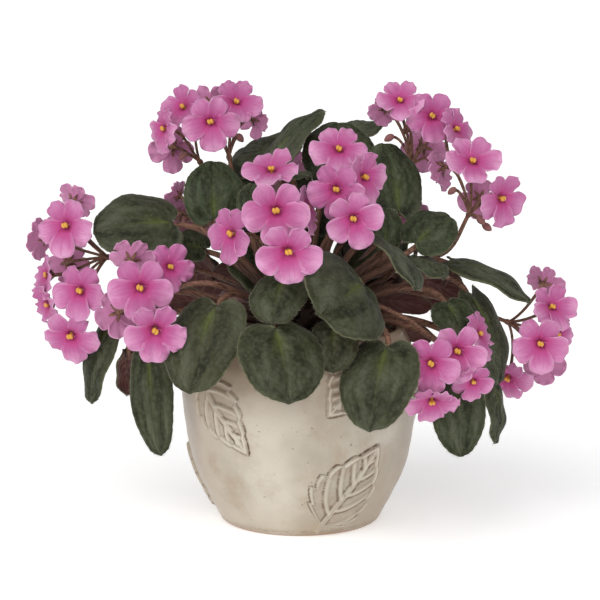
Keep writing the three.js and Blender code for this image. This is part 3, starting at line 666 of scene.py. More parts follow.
def make_mottle_group():
    """Soft blotches with a fine grain over them, from 0 to 1, for any surface that grew."""
    inputs = {"Place": None, "Blotch": 60.0, "Grain": 900.0, "Contrast": 0.5}
    group, tree, given, result = group_tree("mottle", inputs, ["Value"])
    blotch = tree.noise(given["Place"], given["Blotch"], 3.0, 0.55)
    grain = tree.noise(given["Place"], given["Grain"], 2.0, 0.6)
    both = tree.math("MULTIPLY_ADD", grain, 0.35, tree.times(blotch, 0.65))
    wide = tree.times(tree.math("SUBTRACT", both, 0.5), 3.0)
    value = tree.math("MULTIPLY_ADD", wide, given["Contrast"], 0.5, clamped=True)
    tree.put(result["Value"], value)
    return group


def make_fuzz_group():
    """The height of short hairs lying on a surface, for a bump."""
    group, tree, given, result = group_tree("fuzz", {"Place": None, "Scale": 2600.0}, ["Height"])
    coarse = tree.noise(given["Place"], given["Scale"], 2.0, 0.7)
    fine = tree.noise(given["Place"], tree.times(given["Scale"], 2.7), 1.0, 0.6)
    tree.put(result["Height"], tree.math("MULTIPLY_ADD", fine, 0.5, coarse))
    return group


def make_vein_group():
    """Where a blade's midrib, side veins, margin and the glow at its notch lie, from its own UV."""
    inputs = {"Along": 0.0, "Across": 0.5}
    group, tree, given, result = group_tree("leaf_veins", inputs, ["Midrib", "Veins", "Margin", "Glow"])
    off = tree.math("SUBTRACT", given["Across"], 0.5)
    reach = tree.times(tree.math("ABSOLUTE", off), 2.0)
    lean = tree.times(reach, BLADE_VEIN_LEAN)
    phase = tree.times(tree.math("SUBTRACT", given["Along"], lean), BLADE_VEINS)
    veins = tree.spread(tree.math("PINGPONG", phase, 0.5), 0.0, 0.09, 1.0, 0.0)
    width = tree.math("MULTIPLY_ADD", given["Along"], -0.035, 0.06)
    midrib = tree.math("SUBTRACT", 1.0, tree.math("DIVIDE", reach, width), clamped=True)
    near = tree.spread(given["Along"], 0.08, 0.5, 1.0, 0.0)
    tree.put(result["Midrib"], midrib)
    tree.put(result["Veins"], tree.times(veins, tree.spread(reach, 0.75, 1.0, 1.0, 0.2)))
    tree.put(result["Margin"], tree.spread(reach, 0.965, 0.99))
    tree.put(result["Glow"], tree.times(near, tree.spread(reach, 0.0, 0.36, 1.0, 0.0)))
    return group


GROUP_MAKERS = {"mottle": make_mottle_group, "fuzz": make_fuzz_group, "leaf_veins": make_vein_group}


def new_material(name, roughness, **constants):
    """A material with its shader, and uniform values set on the shader's own sockets."""
    material = bpy.data.materials.get(name)
    if material:
        bpy.data.materials.remove(material)
    material = bpy.data.materials.new(name)
    material.use_nodes = True
    shader = material.node_tree.nodes["Principled BSDF"]
    shader.inputs["Roughness"].default_value = roughness
    for label, value in constants.items():
        shader.inputs[label.replace("_", " ")].default_value = value
    return material, Tree(material.node_tree), shader


def feed(tree, shader, color, roughness=None, height=None, strength=0.2, distance=0.2 * MM):
    """Wires a colour, and where given a roughness and a bump, into a material's shader."""
    tree.put(shader.inputs["Base Color"], color)
    if roughness is not None:
        tree.put(shader.inputs["Roughness"], roughness)
    if height is not None:
        bump = tree.add("ShaderNodeBump", {"Height": height, "Strength": strength, "Distance": distance})
        tree.put(shader.inputs["Normal"], bump.outputs["Normal"])


def rgba(color):
    return (*color, 1.0)


def tint(color, share):
    """The same colour, lighter or darker."""
    return tuple(clamp(part * share) for part in color) + (1.0,)


def glaze_material(pot):
    """Crackled cream glaze, warm in patches and at the foot, with painted shade on the left, under the
    leaves and where it turns away; brown in the hollows of the raised leaves, and pale on their crests as
    thin glaze with a painted highlight."""
    material, tree, shader = new_material("crackle_glaze", 0.34, Coat_Weight=0.2, Coat_Roughness=0.15)
    place = tree.object_place()
    clouds = tree.spread(tree.noise(place, 16.0, 3.0, 0.55), 0.38, 0.68)
    warm = tree.spread(tree.noise(place, 42.0, 4.0, 0.6), 0.45, 0.75)
    relief = tree.attribute("stain")
    ragged = tree.spread(tree.noise(place, 260.0, 3.0, 0.7), 0.38, 0.56, 0.55, 1.2)
    stain = tree.times(relief, ragged, clamped=True)
    # pale crests of the relief: partly thin glaze, partly a painted highlight
    crests = tree.times(relief, -0.8, clamped=True)
    cracks = tree.spread(tree.cells(place, 190.0, "DISTANCE_TO_EDGE", 0.9), 0.0, 0.045, 1.0, 0.0)
    crackle = tree.times(cracks, tree.spread(warm, 0.2, 0.9, 0.12, 0.4))
    specks = tree.spread(tree.noise(place, 520.0, 1.0, 0.5), 0.72, 0.78)
    sides = tree.split(place)
    # painted shade: the glaze is darkened towards the pot's left side
    left = tree.spread(sides["X"], -66 * MM, -30 * MM, 0.6, 0.0)
    # painted shadow of the leaves: the glaze darkens from 55 mm up towards the lip
    painted_leaf_shadow = tree.spread(sides["Z"], 55 * MM, 108 * MM, 0.0, 0.85)
    foot = tree.spread(sides["Z"], 0.0, 30 * MM, 0.3, 0.0)
    # painted shade: the glaze darkens where the wall turns away from view, at both outlines
    facing = tree.add("ShaderNodeLayerWeight", {"Blend": 0.5}).outputs["Facing"]
    washes = [
        (tree.times(warm, 0.75), pot.warm_and_shade_color),
        (crackle, pot.warm_and_shade_color),
        (tree.times(specks, 0.5), pot.stain_color),
        (stain, pot.stain_color),
        # painted shade on the left side
        (left, pot.warm_and_shade_color),
        # painted shadow under the leaves
        (painted_leaf_shadow, pot.warm_and_shade_color),
        (foot, pot.warm_and_shade_color),
        # thin glaze and a painted highlight on the crests
        (crests, pot.crest_highlight_color),
        # painted shade at the turned-away edges
        (tree.spread(facing, 0.4, 0.9, 0.0, 0.85), pot.warm_and_shade_color),
        (tree.attribute("bare"), pot.clay_color),
    ]
    body = tree.mix(clouds, rgba(pot.glaze_color), rgba(pot.glaze_shade))
    roughness = tree.math("MULTIPLY_ADD", stain, 0.3, tree.spread(clouds, 0.0, 1.0, 0.3, 0.42))
    ripples = tree.noise(place, 420.0, 3.0, 0.6)
    feed(tree, shader, tree.washed(body, washes), roughness, ripples, 0.12, 0.25 * MM)
    return material


def soil_material(pot):
    """Near black, crumbly soil."""
    material, tree, shader = new_material("potting_soil", 0.95)
    lumps = tree.noise(tree.object_place(), 380.0, 4.0, 0.7)
    color = tree.mix(tree.spread(lumps, 0.35, 0.7), rgba(pot.soil_color), tint(pot.soil_color, 2.2))
    feed(tree, shader, color, height=lumps, strength=0.8, distance=0.8 * MM)
    return material


def perlite_material():
    """The pale grains in the soil."""
    material, tree, shader = new_material("perlite_grain", 0.9)
    grain = tree.noise(tree.object_place(), 900.0, 3.0, 0.6)
    dull, bright = PERLITE_COLORS
    feed(tree, shader, tree.mix(grain, rgba(dull), rgba(bright)), height=grain, strength=0.4)
    return material


def leaf_material(foliage):
    """Dark upper side, puckered between sunken veins and yellow-green at the notch, with a painted grey
    sheen of its hairs, painted shade and highlights in creases, painted highlights on the puckers, and a
    pale margin that is partly a painted highlight.
    """
    sheen = {"Sheen_Weight": 0.06, "Sheen_Roughness": 0.45}
    material, tree, shader = new_material("leaf_upper", 0.5, Specular_IOR_Level=0.16, **sheen)
    along, across = tree.uv("blade")
    place = tree.object_place()
    veins = tree.shared("leaf_veins", {"Along": along, "Across": across})
    mottle = tree.mottle(place, 120.0, Contrast=0.9)
    # painted sheen: a grey of the hairs in the light, as strong as each leaf's grey value
    painted_sheen = tree.times(tree.spread(tree.noise(place, 55.0, 3.0, 0.6), 0.35, 0.7), tree.attribute("grey"))
    wander = tree.times(tree.noise(place, 4.0, 0.0), 14.0)
    # painted shade and highlights in bands along the blade, as on creases
    painted_fold_shading = tree.noise(tree.joined(tree.times(along, 2.0), tree.times(across, 5.0), wander), 1.0, 3.0, 0.6)
    puckers = tree.spread(tree.cells(place, 430.0, "SMOOTH_F1"), 0.1, 0.62, 1.0, 0.0)
    midrib = tree.times(veins["Midrib"], tree.spread(along, 0.1, 0.7, 0.6, 0.1))
    washes = [
        # painted grey sheen of the hairs
        (tree.times(painted_sheen, 0.75), foliage.painted_sheen_color),
        (tree.spread(mottle, 0.15, 0.85, 0.0, 0.15), foliage.shade_color),
        # painted shade in the creases
        (tree.spread(painted_fold_shading, 0.36, 0.54, 0.9, 0.0), foliage.shade_color),
        # painted highlight on the creases
        (tree.spread(painted_fold_shading, 0.5, 0.7, 0.0, 0.7), foliage.crest_highlight_color),
        # painted highlight on the raised middles of the puckers
        (tree.times(puckers, 0.3), foliage.crest_highlight_color),
        (tree.times(veins["Veins"], 0.28), foliage.shade_color),
        (tree.times(veins["Glow"], 0.75), foliage.glow_color),
        (midrib, foliage.glow_color),
        # pale margin: partly pale hairs, partly a painted highlight of the hairs against the light
        (tree.times(veins["Margin"], 0.65), foliage.margin_highlight_color),
    ]
    body = tree.mix(tree.attribute("green"), rgba(foliage.olive_color), rgba(foliage.green_color))
    fuzz = tree.shared("fuzz", {"Place": place, "Scale": 1500.0})["Height"]
    height = tree.math("MULTIPLY_ADD", puckers, 0.9, tree.times(fuzz, 0.6))
    roughness = tree.spread(mottle, 0.0, 1.0, 0.42, 0.6)
    feed(tree, shader, tree.washed(body, washes), roughness, height, 0.55, 0.45 * MM)
    return material


def underside_material(foliage):
    """Dull maroon underside with paler raised veins."""
    material, tree, shader = new_material("leaf_under", 0.7, Sheen_Weight=0.1, Specular_IOR_Level=0.25)
    along, across = tree.uv("blade")
    place = tree.object_place()
    veins = tree.shared("leaf_veins", {"Along": along, "Across": across})
    lines = tree.math("MAXIMUM", veins["Veins"], veins["Midrib"])
    body = tree.mix(tree.mottle(place, 110.0), rgba(foliage.under_color), tint(foliage.under_color, 0.55))
    color = tree.washed(body, [(tree.times(lines, 0.5), foliage.stem_light_color)])
    feed(tree, shader, color, height=tree.shared("fuzz", {"Place": place})["Height"], strength=0.3)
    return material


def stem_material(foliage):
    """Downy red-brown stems, streaked pale and dark along their length, with painted shade that makes them
    near black in the heart.
    """
    material, tree, shader = new_material("stem", 0.5, Sheen_Weight=0.03, Specular_IOR_Level=0.2)
    place = tree.object_place()
    outwards = tree.vector("SUBTRACT", (place, (0, 0, SOIL_TOP * MM)))[0]
    streaks = tree.noise(tree.vector("NORMALIZE", (outwards,))[0], 75.0, 2.0, 0.6)
    flat = tree.vector("MULTIPLY", (place, (1, 1, 0)))[0]
    reach = tree.vector("LENGTH", (flat,))["Value"]
    # painted shade: the stems darken towards the crown's heart, near the axis and low down
    low = tree.spread(tree.split(place)["Z"], 120 * MM, 175 * MM, 1.0, 0.15)
    washes = [
        (tree.spread(streaks, 0.52, 0.66, 0.0, 0.8), foliage.stem_light_color),
        (tree.spread(streaks, 0.34, 0.48, 0.75, 0.0), foliage.stem_dark_color),
        (tree.times(tree.spread(reach, 20 * MM, 70 * MM, 0.9, 0.0), low), foliage.heart_shade_color),
    ]
    body = tree.mix(tree.mottle(place, 45.0), rgba(foliage.stem_color), rgba(foliage.stem_light_color))
    fuzz = tree.shared("fuzz", {"Place": place, "Scale": 2000.0})["Height"]
    feed(tree, shader, tree.washed(body, washes), height=fuzz, strength=0.3)
    return material


def hair_material(foliage):
    """The silky hairs of leaves and stems."""
    material, tree, shader = new_material("down_hair", 0.55, Sheen_Weight=0.2)
    mottle = tree.mottle(tree.object_place(), 200.0)
    feed(tree, shader, tree.mix(mottle, rgba(foliage.hair_color), tint(foliage.hair_color, 0.7)))
    return material


def petal_material(blooms, name, backs):
    """Satin petals: crimson at the throat, pink between, pale at the edge, finely streaked, with painted
    shade in creases and on the upper petals. The last value is how far they take the paler colour of
    the petals' backs, which is painted light shining through them."""
    sheen = {"Sheen_Weight": 0.12, "Sheen_Roughness": 0.4, "Sheen_Tint": (1, 0.8, 0.92, 1)}
    material, tree, shader = new_material(name, 0.55, Specular_IOR_Level=0.2, **sheen)
    along, across = tree.uv("petal")
    place = tree.object_place()
    tone = tree.attribute("tone")
    off = tree.times(tree.math("ABSOLUTE", tree.math("SUBTRACT", across, 0.5)), 2.0)
    streak_place = tree.joined(tree.times(along, 1.6), tree.times(across, 16.0), tree.times(tone, 40.0))
    streaks = tree.noise(streak_place, 1.0, 3.0, 0.65)
    clouds = tree.noise(place, 150.0, 3.0, 0.6)
    depth = tree.math("ADD", along, tree.times(tree.math("SUBTRACT", clouds, 0.5), 0.3))
    streaked = tree.math("MULTIPLY_ADD", streaks, -0.16, depth)
    edge = tree.spread(tree.math("MAXIMUM", depth, tree.times(off, 0.85)), 0.5, 1.0)
    # painted shade: darker patches of the petals, as in their creases
    painted_fold_shading = tree.noise(place, 75.0, 2.0, 0.6)
    veined = tree.times(tree.spread(streaks, 0.45, 0.66), tree.spread(along, 0.1, 0.95, 0.65, 0.28))
    rim = tree.spread(tree.math("MAXIMUM", along, off), 0.92, 1.0, 0.0, 0.5)
    washes = [
        (tree.times(edge, 0.8), blooms.petal_edge_color),
        # tone: random differences, with painted shade on the two upper petals
        (tree.times(tone, 0.65), blooms.petal_dark_and_shade_color),
        # painted shade in the creases
        (tree.spread(painted_fold_shading, 0.5, 0.7, 0.0, 0.45), blooms.petal_deep_color),
        (tree.spread(streaked, 0.05, 0.44, 0.9, 0.0), blooms.flush_color),
        (tree.spread(streaked, -0.02, 0.2, 0.95, 0.0), blooms.throat_color),
        (veined, blooms.petal_deep_color),
        (rim, blooms.petal_edge_color),
        # painted light shining through: the backs take a paler colour
        (backs, blooms.petal_back_painted_light_color),
    ]
    body = tree.mix(tree.spread(depth, 0.15, 0.75), rgba(blooms.petal_deep_color), rgba(blooms.petal_color))
    grain = tree.noise(place, 2600.0, 2.0, 0.6)
    crinkles = tree.noise(place, 300.0, 2.0, 0.6)
    height = tree.math("MULTIPLY_ADD", streaks, 3.2, tree.math("MULTIPLY_ADD", crinkles, 3.0, grain))
    feed(tree, shader, tree.washed(body, washes), height=height, strength=0.5, distance=0.25 * MM)
    return material


def anther_material(blooms):
    """Mealy yellow anthers."""
    material, tree, shader = new_material("anther", 0.45)
    mottle = tree.mottle(tree.object_place(), 500.0)
    color = tree.mix(mottle, rgba(blooms.anther_color), tint(blooms.anther_color, 0.6))
    feed(tree, shader, color, height=mottle, strength=0.3, distance=0.1 * MM)
    return material


def style_material(blooms):
    """The pink style beside the anthers."""
    material, tree, shader = new_material("style", 0.5)
    mottle = tree.mottle(tree.object_place(), 500.0)
    feed(tree, shader, tree.mix(mottle, rgba(blooms.petal_color), rgba(blooms.throat_color)))
    return material


def bud_material(blooms, foliage):
    """Closed buds, between the colour of the stems and that of the blooms."""
    material, tree, shader = new_material("bud", 0.6, Sheen_Weight=0.15, Specular_IOR_Level=0.3)
    place = tree.object_place()
    color = tree.mix(tree.mottle(place, 240.0), rgba(foliage.stem_light_color), rgba(blooms.bud_color))
    feed(tree, shader, color, height=tree.shared("fuzz", {"Place": place})["Height"], strength=0.4)
    return material


def finish_piece(bm, name, materials, node):
    """Turns a bmesh into a finished piece that rides on the plant's one body."""
    for face in bm.faces:
        face.smooth = True
    mesh = bpy.data.meshes.new(name)
    bm.to_mesh(mesh)
    bm.free()
    for material in materials:
        mesh.materials.append(material)
    piece = bpy.data.objects.new(name, mesh)
    bpy.context.scene.collection.objects.link(piece)
    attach(piece, "root")
    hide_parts(node)


def spin_profile(bm, profile, steps):
    """Spins points of (radius, height) in millimetres, from axis to axis, into a closed body."""
    verts = [bm.verts.new((radius * MM, 0, height * MM)) for radius, height in profile]
    edges = [bm.edges.new(pair) for pair in zip(verts, verts[1:])]
    bmesh.ops.spin(
        bm,
        geom=verts + edges,
        cent=(0, 0, 0),
        axis=UP,
        angle=math.tau,
        steps=steps,
        use_merge=True,
    )
    bmesh.ops.remove_doubles(bm, verts=bm.verts, dist=1e-6)
    bmesh.ops.recalc_face_normals(bm, faces=bm.faces)


def tapered(points, first, last):
    """A radius in metres for each point, evenly from the first to the last in millimetres."""
    steps = len(points) - 1
    return [lerp(first, last, i / steps) * MM for i in range(steps + 1)]


def add_tubes(bm, lines, material=0, sides=10):
    """Adds closed round tubes; each line is (points, radii)."""
    curve = bpy.data.curves.new("tubes", "CURVE")
    curve.dimensions = "3D"
    curve.bevel_depth = 1.0
    curve.bevel_resolution = max(0, sides // 2 - 2)
    curve.use_fill_caps = True
    for points, radii in lines:
        spline = curve.splines.new("POLY")
        spline.points.add(len(points) - 1)
        for target, point, radius in zip(spline.points, points, radii):
            target.co = (*point, 1)
            target.radius = radius
    holder = bpy.data.objects.new("tubes", curve)
    bpy.context.scene.collection.objects.link(holder)
    depsgraph = bpy.context.evaluated_depsgraph_get()
    mesh = bpy.data.meshes.new_from_object(holder.evaluated_get(depsgraph))
    before = len(bm.faces)
    bm.from_mesh(mesh)
    bm.faces.ensure_lookup_table()
    for face in bm.faces[before:]:
        face.material_index = material
    bpy.data.objects.remove(holder)
    bpy.data.curves.remove(curve)
    bpy.data.meshes.remove(mesh)


def add_hair(bm, root, direction, length, radius, material):
    """Adds one hair: a slim closed spike with three sides."""
    tip = root + direction.normalized() * length * MM
    axis = (tip - root).normalized()
    side = axis.orthogonal().normalized() * radius
    around_axis = Matrix.Rotation(math.tau / 3, 3, axis)
    base = []
    for _ in range(3):
        base.append(bm.verts.new(root + side))
        side = around_axis @ side
    top = bm.verts.new(tip)
    faces = [bm.faces.new(base[::-1])]
    for i in range(3):
        faces.append(bm.faces.new((base[i], base[(i + 1) % 3], top)))
    for face in faces:
        face.material_index = material


def add_sheet(bm, rows, columns, place, thickness, uv_name, under=None):
    """Adds a thick sheet from a grid whose points `place` puts by the share along it and the side,
    from -1 to 1. Returns its faces and those of its other side, which may take another material."""
    uv = bm.loops.layers.uv.get(uv_name) or bm.loops.layers.uv.new(uv_name)
    verts = bmesh.ops.create_grid(bm, x_segments=rows, y_segments=columns, size=0.5)["verts"]
    faces = list(dict.fromkeys(face for vert in verts for face in vert.link_faces))
    for face in faces:
        for loop in face.loops:
            loop[uv].uv = (loop.vert.co.x + 0.5, loop.vert.co.y + 0.5)
    for vert in verts:
        vert.co = place(vert.co.x + 0.5, 2 * vert.co.y)
    bmesh.ops.remove_doubles(bm, verts=verts, dist=1e-6)
    faces = [face for face in faces if face.is_valid]
    made = bmesh.ops.solidify(bm, geom=faces, thickness=thickness)["geom"]
    made_faces = [item for item in made if isinstance(item, bmesh.types.BMFace)]
    if under is not None:
        for face in made_faces:
            face.material_index = under
    return faces, made_faces


class Blade:
    """A blade's own directions and the points of its sheet, in metres."""

    def __init__(self, leaf, base, tip):
        self.leaf = leaf
        self.base = base
        self.along = (tip - base).normalized()
        self.length = (tip - base).length
        self.width = leaf.width * MM
        self.face = (UP - self.along * UP.dot(self.along)).normalized()
        self.face.rotate(Matrix.Rotation(math.radians(leaf.turn), 3, self.along))
        self.across = self.face.cross(self.along)

    def point(self, row, side):
        """The place at a share of the length and at a side from -1 to 1."""
        edge_x, edge_y = smooth_outline(BLADE_OUTLINE, row)
        reach = abs(side)
        tooth = BLADE_TOOTH * reach**6 * abs(math.sin(row * math.pi * BLADE_TEETH))
        x = lerp(row, edge_x, reach) * self.length
        y = math.copysign(reach * (edge_y + tooth), side) * self.width
        spread = abs(y) / (self.width / 2)
        middle = max(0.0, x / self.length)
        wave = math.sin(row * math.tau * BLADE_WAVES + (0 if side > 0 else 1.3))
        phase = (row - BLADE_VEIN_LEAN * reach) * BLADE_VEINS
        away = abs((phase + 0.5) % 1 - 0.5)
        quilt = smooth_step(0.0, 0.3, away) * (1 - reach**4) * math.sin(math.pi * row) ** 0.5
        rib = bell(reach, 0.05) * (1 - row)
        height = (
            BLADE_ARCH * self.length * 4 * middle * (1 - middle)
            - BLADE_CUP * (self.width / 2) * spread * spread
            - BLADE_GROOVE * self.width * (1 - reach) ** 3 * math.sin(math.pi * row)
            + BLADE_WAVE * MM * reach * wave
            + (BLADE_QUILT * quilt - BLADE_QUILT_SINK) * MM
            - BLADE_RIB_SINK * rib * MM
        )
        return self.base + self.along * x + self.across * y + self.face * height


def all_blades():
    """Every leaf blade by name, in the order of the tables."""
    blades = {}
    for name, leaf in {**LEAVES, **YOUNG_LEAVES}.items():
        blades[name] = Blade(leaf, seen(leaf.base), seen(leaf.tip))
    for name, leaf in FAR_LEAVES.items():
        blades[name] = Blade(leaf, around(leaf.base), around(leaf.tip))
    return blades


def make_blade(name, blade, foliage, materials):
    """One leaf blade with its hairs: materials are the upper side, the underside and the hairs."""
    young = name in YOUNG_LEAVES
    fineness = YOUNG_FINENESS if young else 1
    rows = round(BLADE_ROWS * fineness)
    columns = round(BLADE_COLUMNS * fineness)
    rng = random.Random(f"{SEED} {name}")
    bm = bmesh.new()
    half = blade.face * (foliage.blade_thickness / 2)

    def place(row, side):
        return blade.point(row, side) + half

    add_sheet(bm, rows, columns, place, foliage.blade_thickness, "blade", under=1)
    for layer_name, value in (("green", blade.leaf.green), ("grey", blade.leaf.grey)):
        layer = bm.verts.layers.float.new(layer_name)
        for vert in bm.verts:
            vert[layer] = value
    for _ in range(round(foliage.margin_hairs * fineness)):
        row = rng.uniform(0.02, 0.99)
        side = rng.choice((-1, 1))
        root = blade.point(row, side)
        out = (root - blade.point(row, side * 0.85)).normalized()
        lean = blade.along * rng.uniform(-0.5, 0.7) + blade.face * rng.uniform(-0.3, 0.6)
        add_hair(bm, root, out + lean, rng.uniform(*MARGIN_HAIR_LENGTHS), foliage.hair_radius, 2)
    for _ in range(round(foliage.surface_hairs * fineness)):
        root = place(rng.uniform(0.03, 0.97), rng.uniform(-0.98, 0.98))
        lean = blade.along * rng.uniform(-0.6, 0.9) + blade.across * rng.uniform(-0.6, 0.6)
        length = rng.uniform(*SURFACE_HAIR_LENGTHS)
        add_hair(bm, root, blade.face + lean, length, foliage.hair_radius, 2)
    finish_piece(bm, f"blade_{name}", materials, "crown" if young else f"leaf_{name}")


def petiole_line(blade):
    """A petiole leaves the crown towards its blade and arrives under it along its midrib."""
    end = blade.base - blade.face * (PETIOLE_TIP_RADIUS + 0.45) * MM
    bearing = Vector((blade.base.x, blade.base.y, 0)).normalized()
    lift = clamp((blade.base.z / MM - LOW_LEAF) / (HIGH_LEAF - LOW_LEAF))
    root = bearing * NECK_RADIUS * MM / 2
    root.z = lerp(PETIOLE_LOWEST_ROOT, NECK_TOP - 3, lift) * MM
    span = (end - root).length
    leaving = bearing * lerp(*PETIOLE_OUTWARDS, lift) + UP * lerp(*PETIOLE_UPWARDS, lift)
    start_handle, end_handle = PETIOLE_HANDLES
    arriving = end - blade.along * span * end_handle
    points = bent(root, root + leaving * span * start_handle, arriving, end, PETIOLE_STEPS)
    radii = tapered(points, PETIOLE_RADIUS, PETIOLE_TIP_RADIUS)
    below = blade.along * blade.length
    points.append(end + below * PETIOLE_UNDER_BLADE + blade.face * 0.02 * blade.length)
    radii.append(0.7 * MM)
    return points, radii


class Bloom:
    """A bloom's own directions, so that a point is placed by its top, its right and its face."""

    def __init__(self, centre, turn, tip, roll, radius, cup, age):
        self.centre = centre
        self.radius = radius
        self.cup = cup
        self.age = age
        yaw = math.radians(turn)
        pitch = math.radians(tip)
        level = math.cos(pitch)
        self.face = Vector((math.sin(yaw) * level, -math.cos(yaw) * level, math.sin(pitch)))
        self.top = (UP - self.face * UP.dot(self.face)).normalized()
        self.top.rotate(Matrix.Rotation(math.radians(roll), 3, self.face))
        self.right = self.top.cross(self.face)

    def place(self, up, right, out):
        return self.centre + (self.top * up + self.right * right + self.face * out) * self.radius


def make_sprays(radius):
    """Each spray's stalk line, its share on the crown, its blooms and its buds, by name."""
    rng = random.Random(SEED + 2)
    sprays = {}
    for name, spray in [*SPRAYS.items(), *FAR_SPRAYS.items()]:
        far = name in FAR_SPRAYS
        put = around if far else seen
        points = [put(place) for place in spray.stalk]
        root = Vector((points[0].x, points[0].y, 0)).normalized() * NECK_RADIUS * 0.4 * MM
        root.z = (NECK_TOP - 4) * MM
        blooms = []
        for across, down, depth, turn, tip, roll, size in spray.blooms:
            facing = turn + across if far else turn
            centre = put((across, down, depth))
            cup = rng.uniform(*BLOOM_CUPS) + 0.2 * smooth_step(15, 40, tip)
            age = rng.uniform(*BLOOM_AGES)
            blooms.append(Bloom(centre, facing, tip, roll, radius * size, cup, age))
        sprays[name] = (through([root, *points]), spray.joint, blooms, [put(bud) for bud in spray.buds])
    return sprays


def petal_height(share):
    """How far a bloom's surface lies in front of its middle, at a share of its radius."""
    for (low, before), (high, after) in zip(PETAL_HEIGHTS, PETAL_HEIGHTS[1:]):
        if share <= high:
            return lerp(before, after, (share - low) / (high - low))
    return PETAL_HEIGHTS[-1][1]


def soft_petal_height(share):
    """The same, with its corners rounded off."""
    return sum(petal_height(max(0.0, share + step)) for step in (-0.06, -0.03, 0, 0.03, 0.06)) / 5


def turned(angle, along, across):
    """How far up and how far right a place lies that is given along and across an angle."""
    up = math.cos(angle) * along - math.sin(angle) * across
    right = math.sin(angle) * along + math.cos(angle) * across
    return up, right


def add_petal(bm, bloom, petal, rng, thickness):
    """Adds one rounded, softly ruffled petal to a bloom."""
    middle = math.radians(petal.bearing + rng.uniform(*PETAL_SWAYS))
    reach = petal.reach * rng.uniform(*PETAL_REACHES)
    wide = petal.half * rng.uniform(*PETAL_WIDTHS) / 0.5
    ruffles = rng.choice(PETAL_RUFFLES)
    ruffle = rng.uniform(0, math.tau)
    upper = abs(petal.bearing) < 90
    frill = rng.uniform(*PETAL_FRILLS)
    fold = rng.uniform(*PETAL_FOLDS)
    curl = rng.uniform(*PETAL_CURLS) + bloom.cup + (rng.uniform(*PETAL_UPPER_CURLS) if upper else 0)
    bow = rng.uniform(*PETAL_BOWS) + bloom.cup * 0.6
    twist = rng.uniform(*PETAL_TWISTS)
    # the tone differs at random, with painted shade added on the two upper petals
    tone = clamp(rng.uniform(*PETAL_TONES) + (PETAL_UPPER_PAINTED_SHADE if upper else 0) + bloom.age)

    def place(row, side):
        edge_x, edge_y = smooth_outline(PETAL_OUTLINE, row)
        along = lerp(row, edge_x, side * side) * reach
        across = side * edge_y * wide
        share = along / reach
        beyond = (share - PETAL_MIDDLE) / (1 - PETAL_MIDDLE)
        rim = math.hypot(across / (wide * 0.5), max(0.0, beyond))
        turn = math.atan2(across / wide * 2, beyond)
        out = soft_petal_height(math.hypot(along, across * 0.6)) - petal.sunk
        out += frill * rim**4 * math.sin(ruffles * turn + ruffle)
        out += curl * max(0.0, share - 0.3) ** 2
        out += bow * (across / 0.5) ** 2 * share
        out += twist * across * share
        out += fold * share * math.sin(PETAL_FOLD_COUNT * across / wide + ruffle)
        out -= 0.02 * bell(across, 0.045) * math.sin(math.pi * clamp(share)) ** 0.7
        return bloom.place(*turned(middle, along, across), out)

    backs, fronts = add_sheet(bm, PETAL_ROWS, PETAL_COLUMNS, place, thickness, "petal")
    layer = bm.verts.layers.float.get("tone")
    for face in backs:
        face.material_index = 1
    for face in backs + fronts:
        for vert in face.verts:
            vert[layer] = tone


def add_sepals(bm, bloom):
    """Adds the slim red-brown sepals behind a bloom, each between two petals."""
    for i in range(SEPALS):
        middle = math.tau * (i + 0.5) / SEPALS

        def place(row, side):
            edge_x, edge_y = smooth_outline(SEPAL_OUTLINE, row)
            along = lerp(row, edge_x, abs(side)) * SEPAL_LENGTH + 0.03
            across = side * edge_y * SEPAL_WIDTH
            out = soft_petal_height(along) - 0.09 - 0.1 * (1 - row)
            return bloom.place(*turned(middle, along, across), out)

        add_sheet(bm, 6, 4, place, SEPAL_THICKNESS, "petal")


def pedicel_line(fork, onward, end, arriving, end_radius):
    """A pedicel leaves the fork along the stalk and swells towards the bloom or bud at its end."""
    span = (end - fork).length
    leaving = (end - fork).normalized().lerp(onward, 0.4)
    handle = span * PEDICEL_HANDLE
    points = bent(fork, fork + leaving * handle, end - arriving * handle, end, PEDICEL_STEPS)
    radii = []
    for i in range(PEDICEL_STEPS + 1):
        radii.append(lerp(PEDICEL_RADIUS * 1.1, end_radius, (i / PEDICEL_STEPS) ** 3) * MM)
    return points, radii


def add_stem_hairs(bm, lines, every, radius, rng):
    """Adds hairs along tubes, one for each `every` metres."""
    for points, radii in lines:
        for a, b, ra, rb in zip(points, points[1:], radii, radii[1:]):
            count = (b - a).length / every
            count = int(count) + (rng.random() < count % 1)
            axis = (b - a).normalized()
            for _ in range(count):
                share = rng.random()
                out = axis.orthogonal().normalized()
                out.rotate(Matrix.Rotation(rng.uniform(0, math.tau), 3, axis))
                root = a.lerp(b, share) + out * lerp(ra, rb, share) * 0.95
                direction = out + axis * rng.uniform(-0.2, 0.6)
                add_hair(bm, root, direction, rng.uniform(*STEM_HAIR_LENGTHS), radius, 1)


def add_bud(bm, centre, hanging, size, material):
    """Adds a closed bud: a plump drop that narrows to its tip."""
    turn = UP.rotation_difference(hanging).to_matrix().to_4x4()
    verts = bmesh.ops.create_uvsphere(bm, u_segments=14, v_segments=10, radius=1.0)["verts"]
    for vert in verts:
        height = vert.co.z
        plump = 1 - 0.35 * max(0.0, height) ** 1.5
        ribbed = 1 + 0.05 * math.cos(5 * math.atan2(vert.co.y, vert.co.x))
        vert.co.x *= 0.85 * plump * ribbed
        vert.co.y *= 0.85 * plump * ribbed
        vert.co.z *= 1.3
    bmesh.ops.scale(bm, vec=(size, size, size), verts=verts)
    bmesh.ops.transform(bm, matrix=Matrix.Translation(centre) @ turn, verts=verts)
    for face in {face for vert in verts for face in vert.link_faces}:
        face.material_index = material


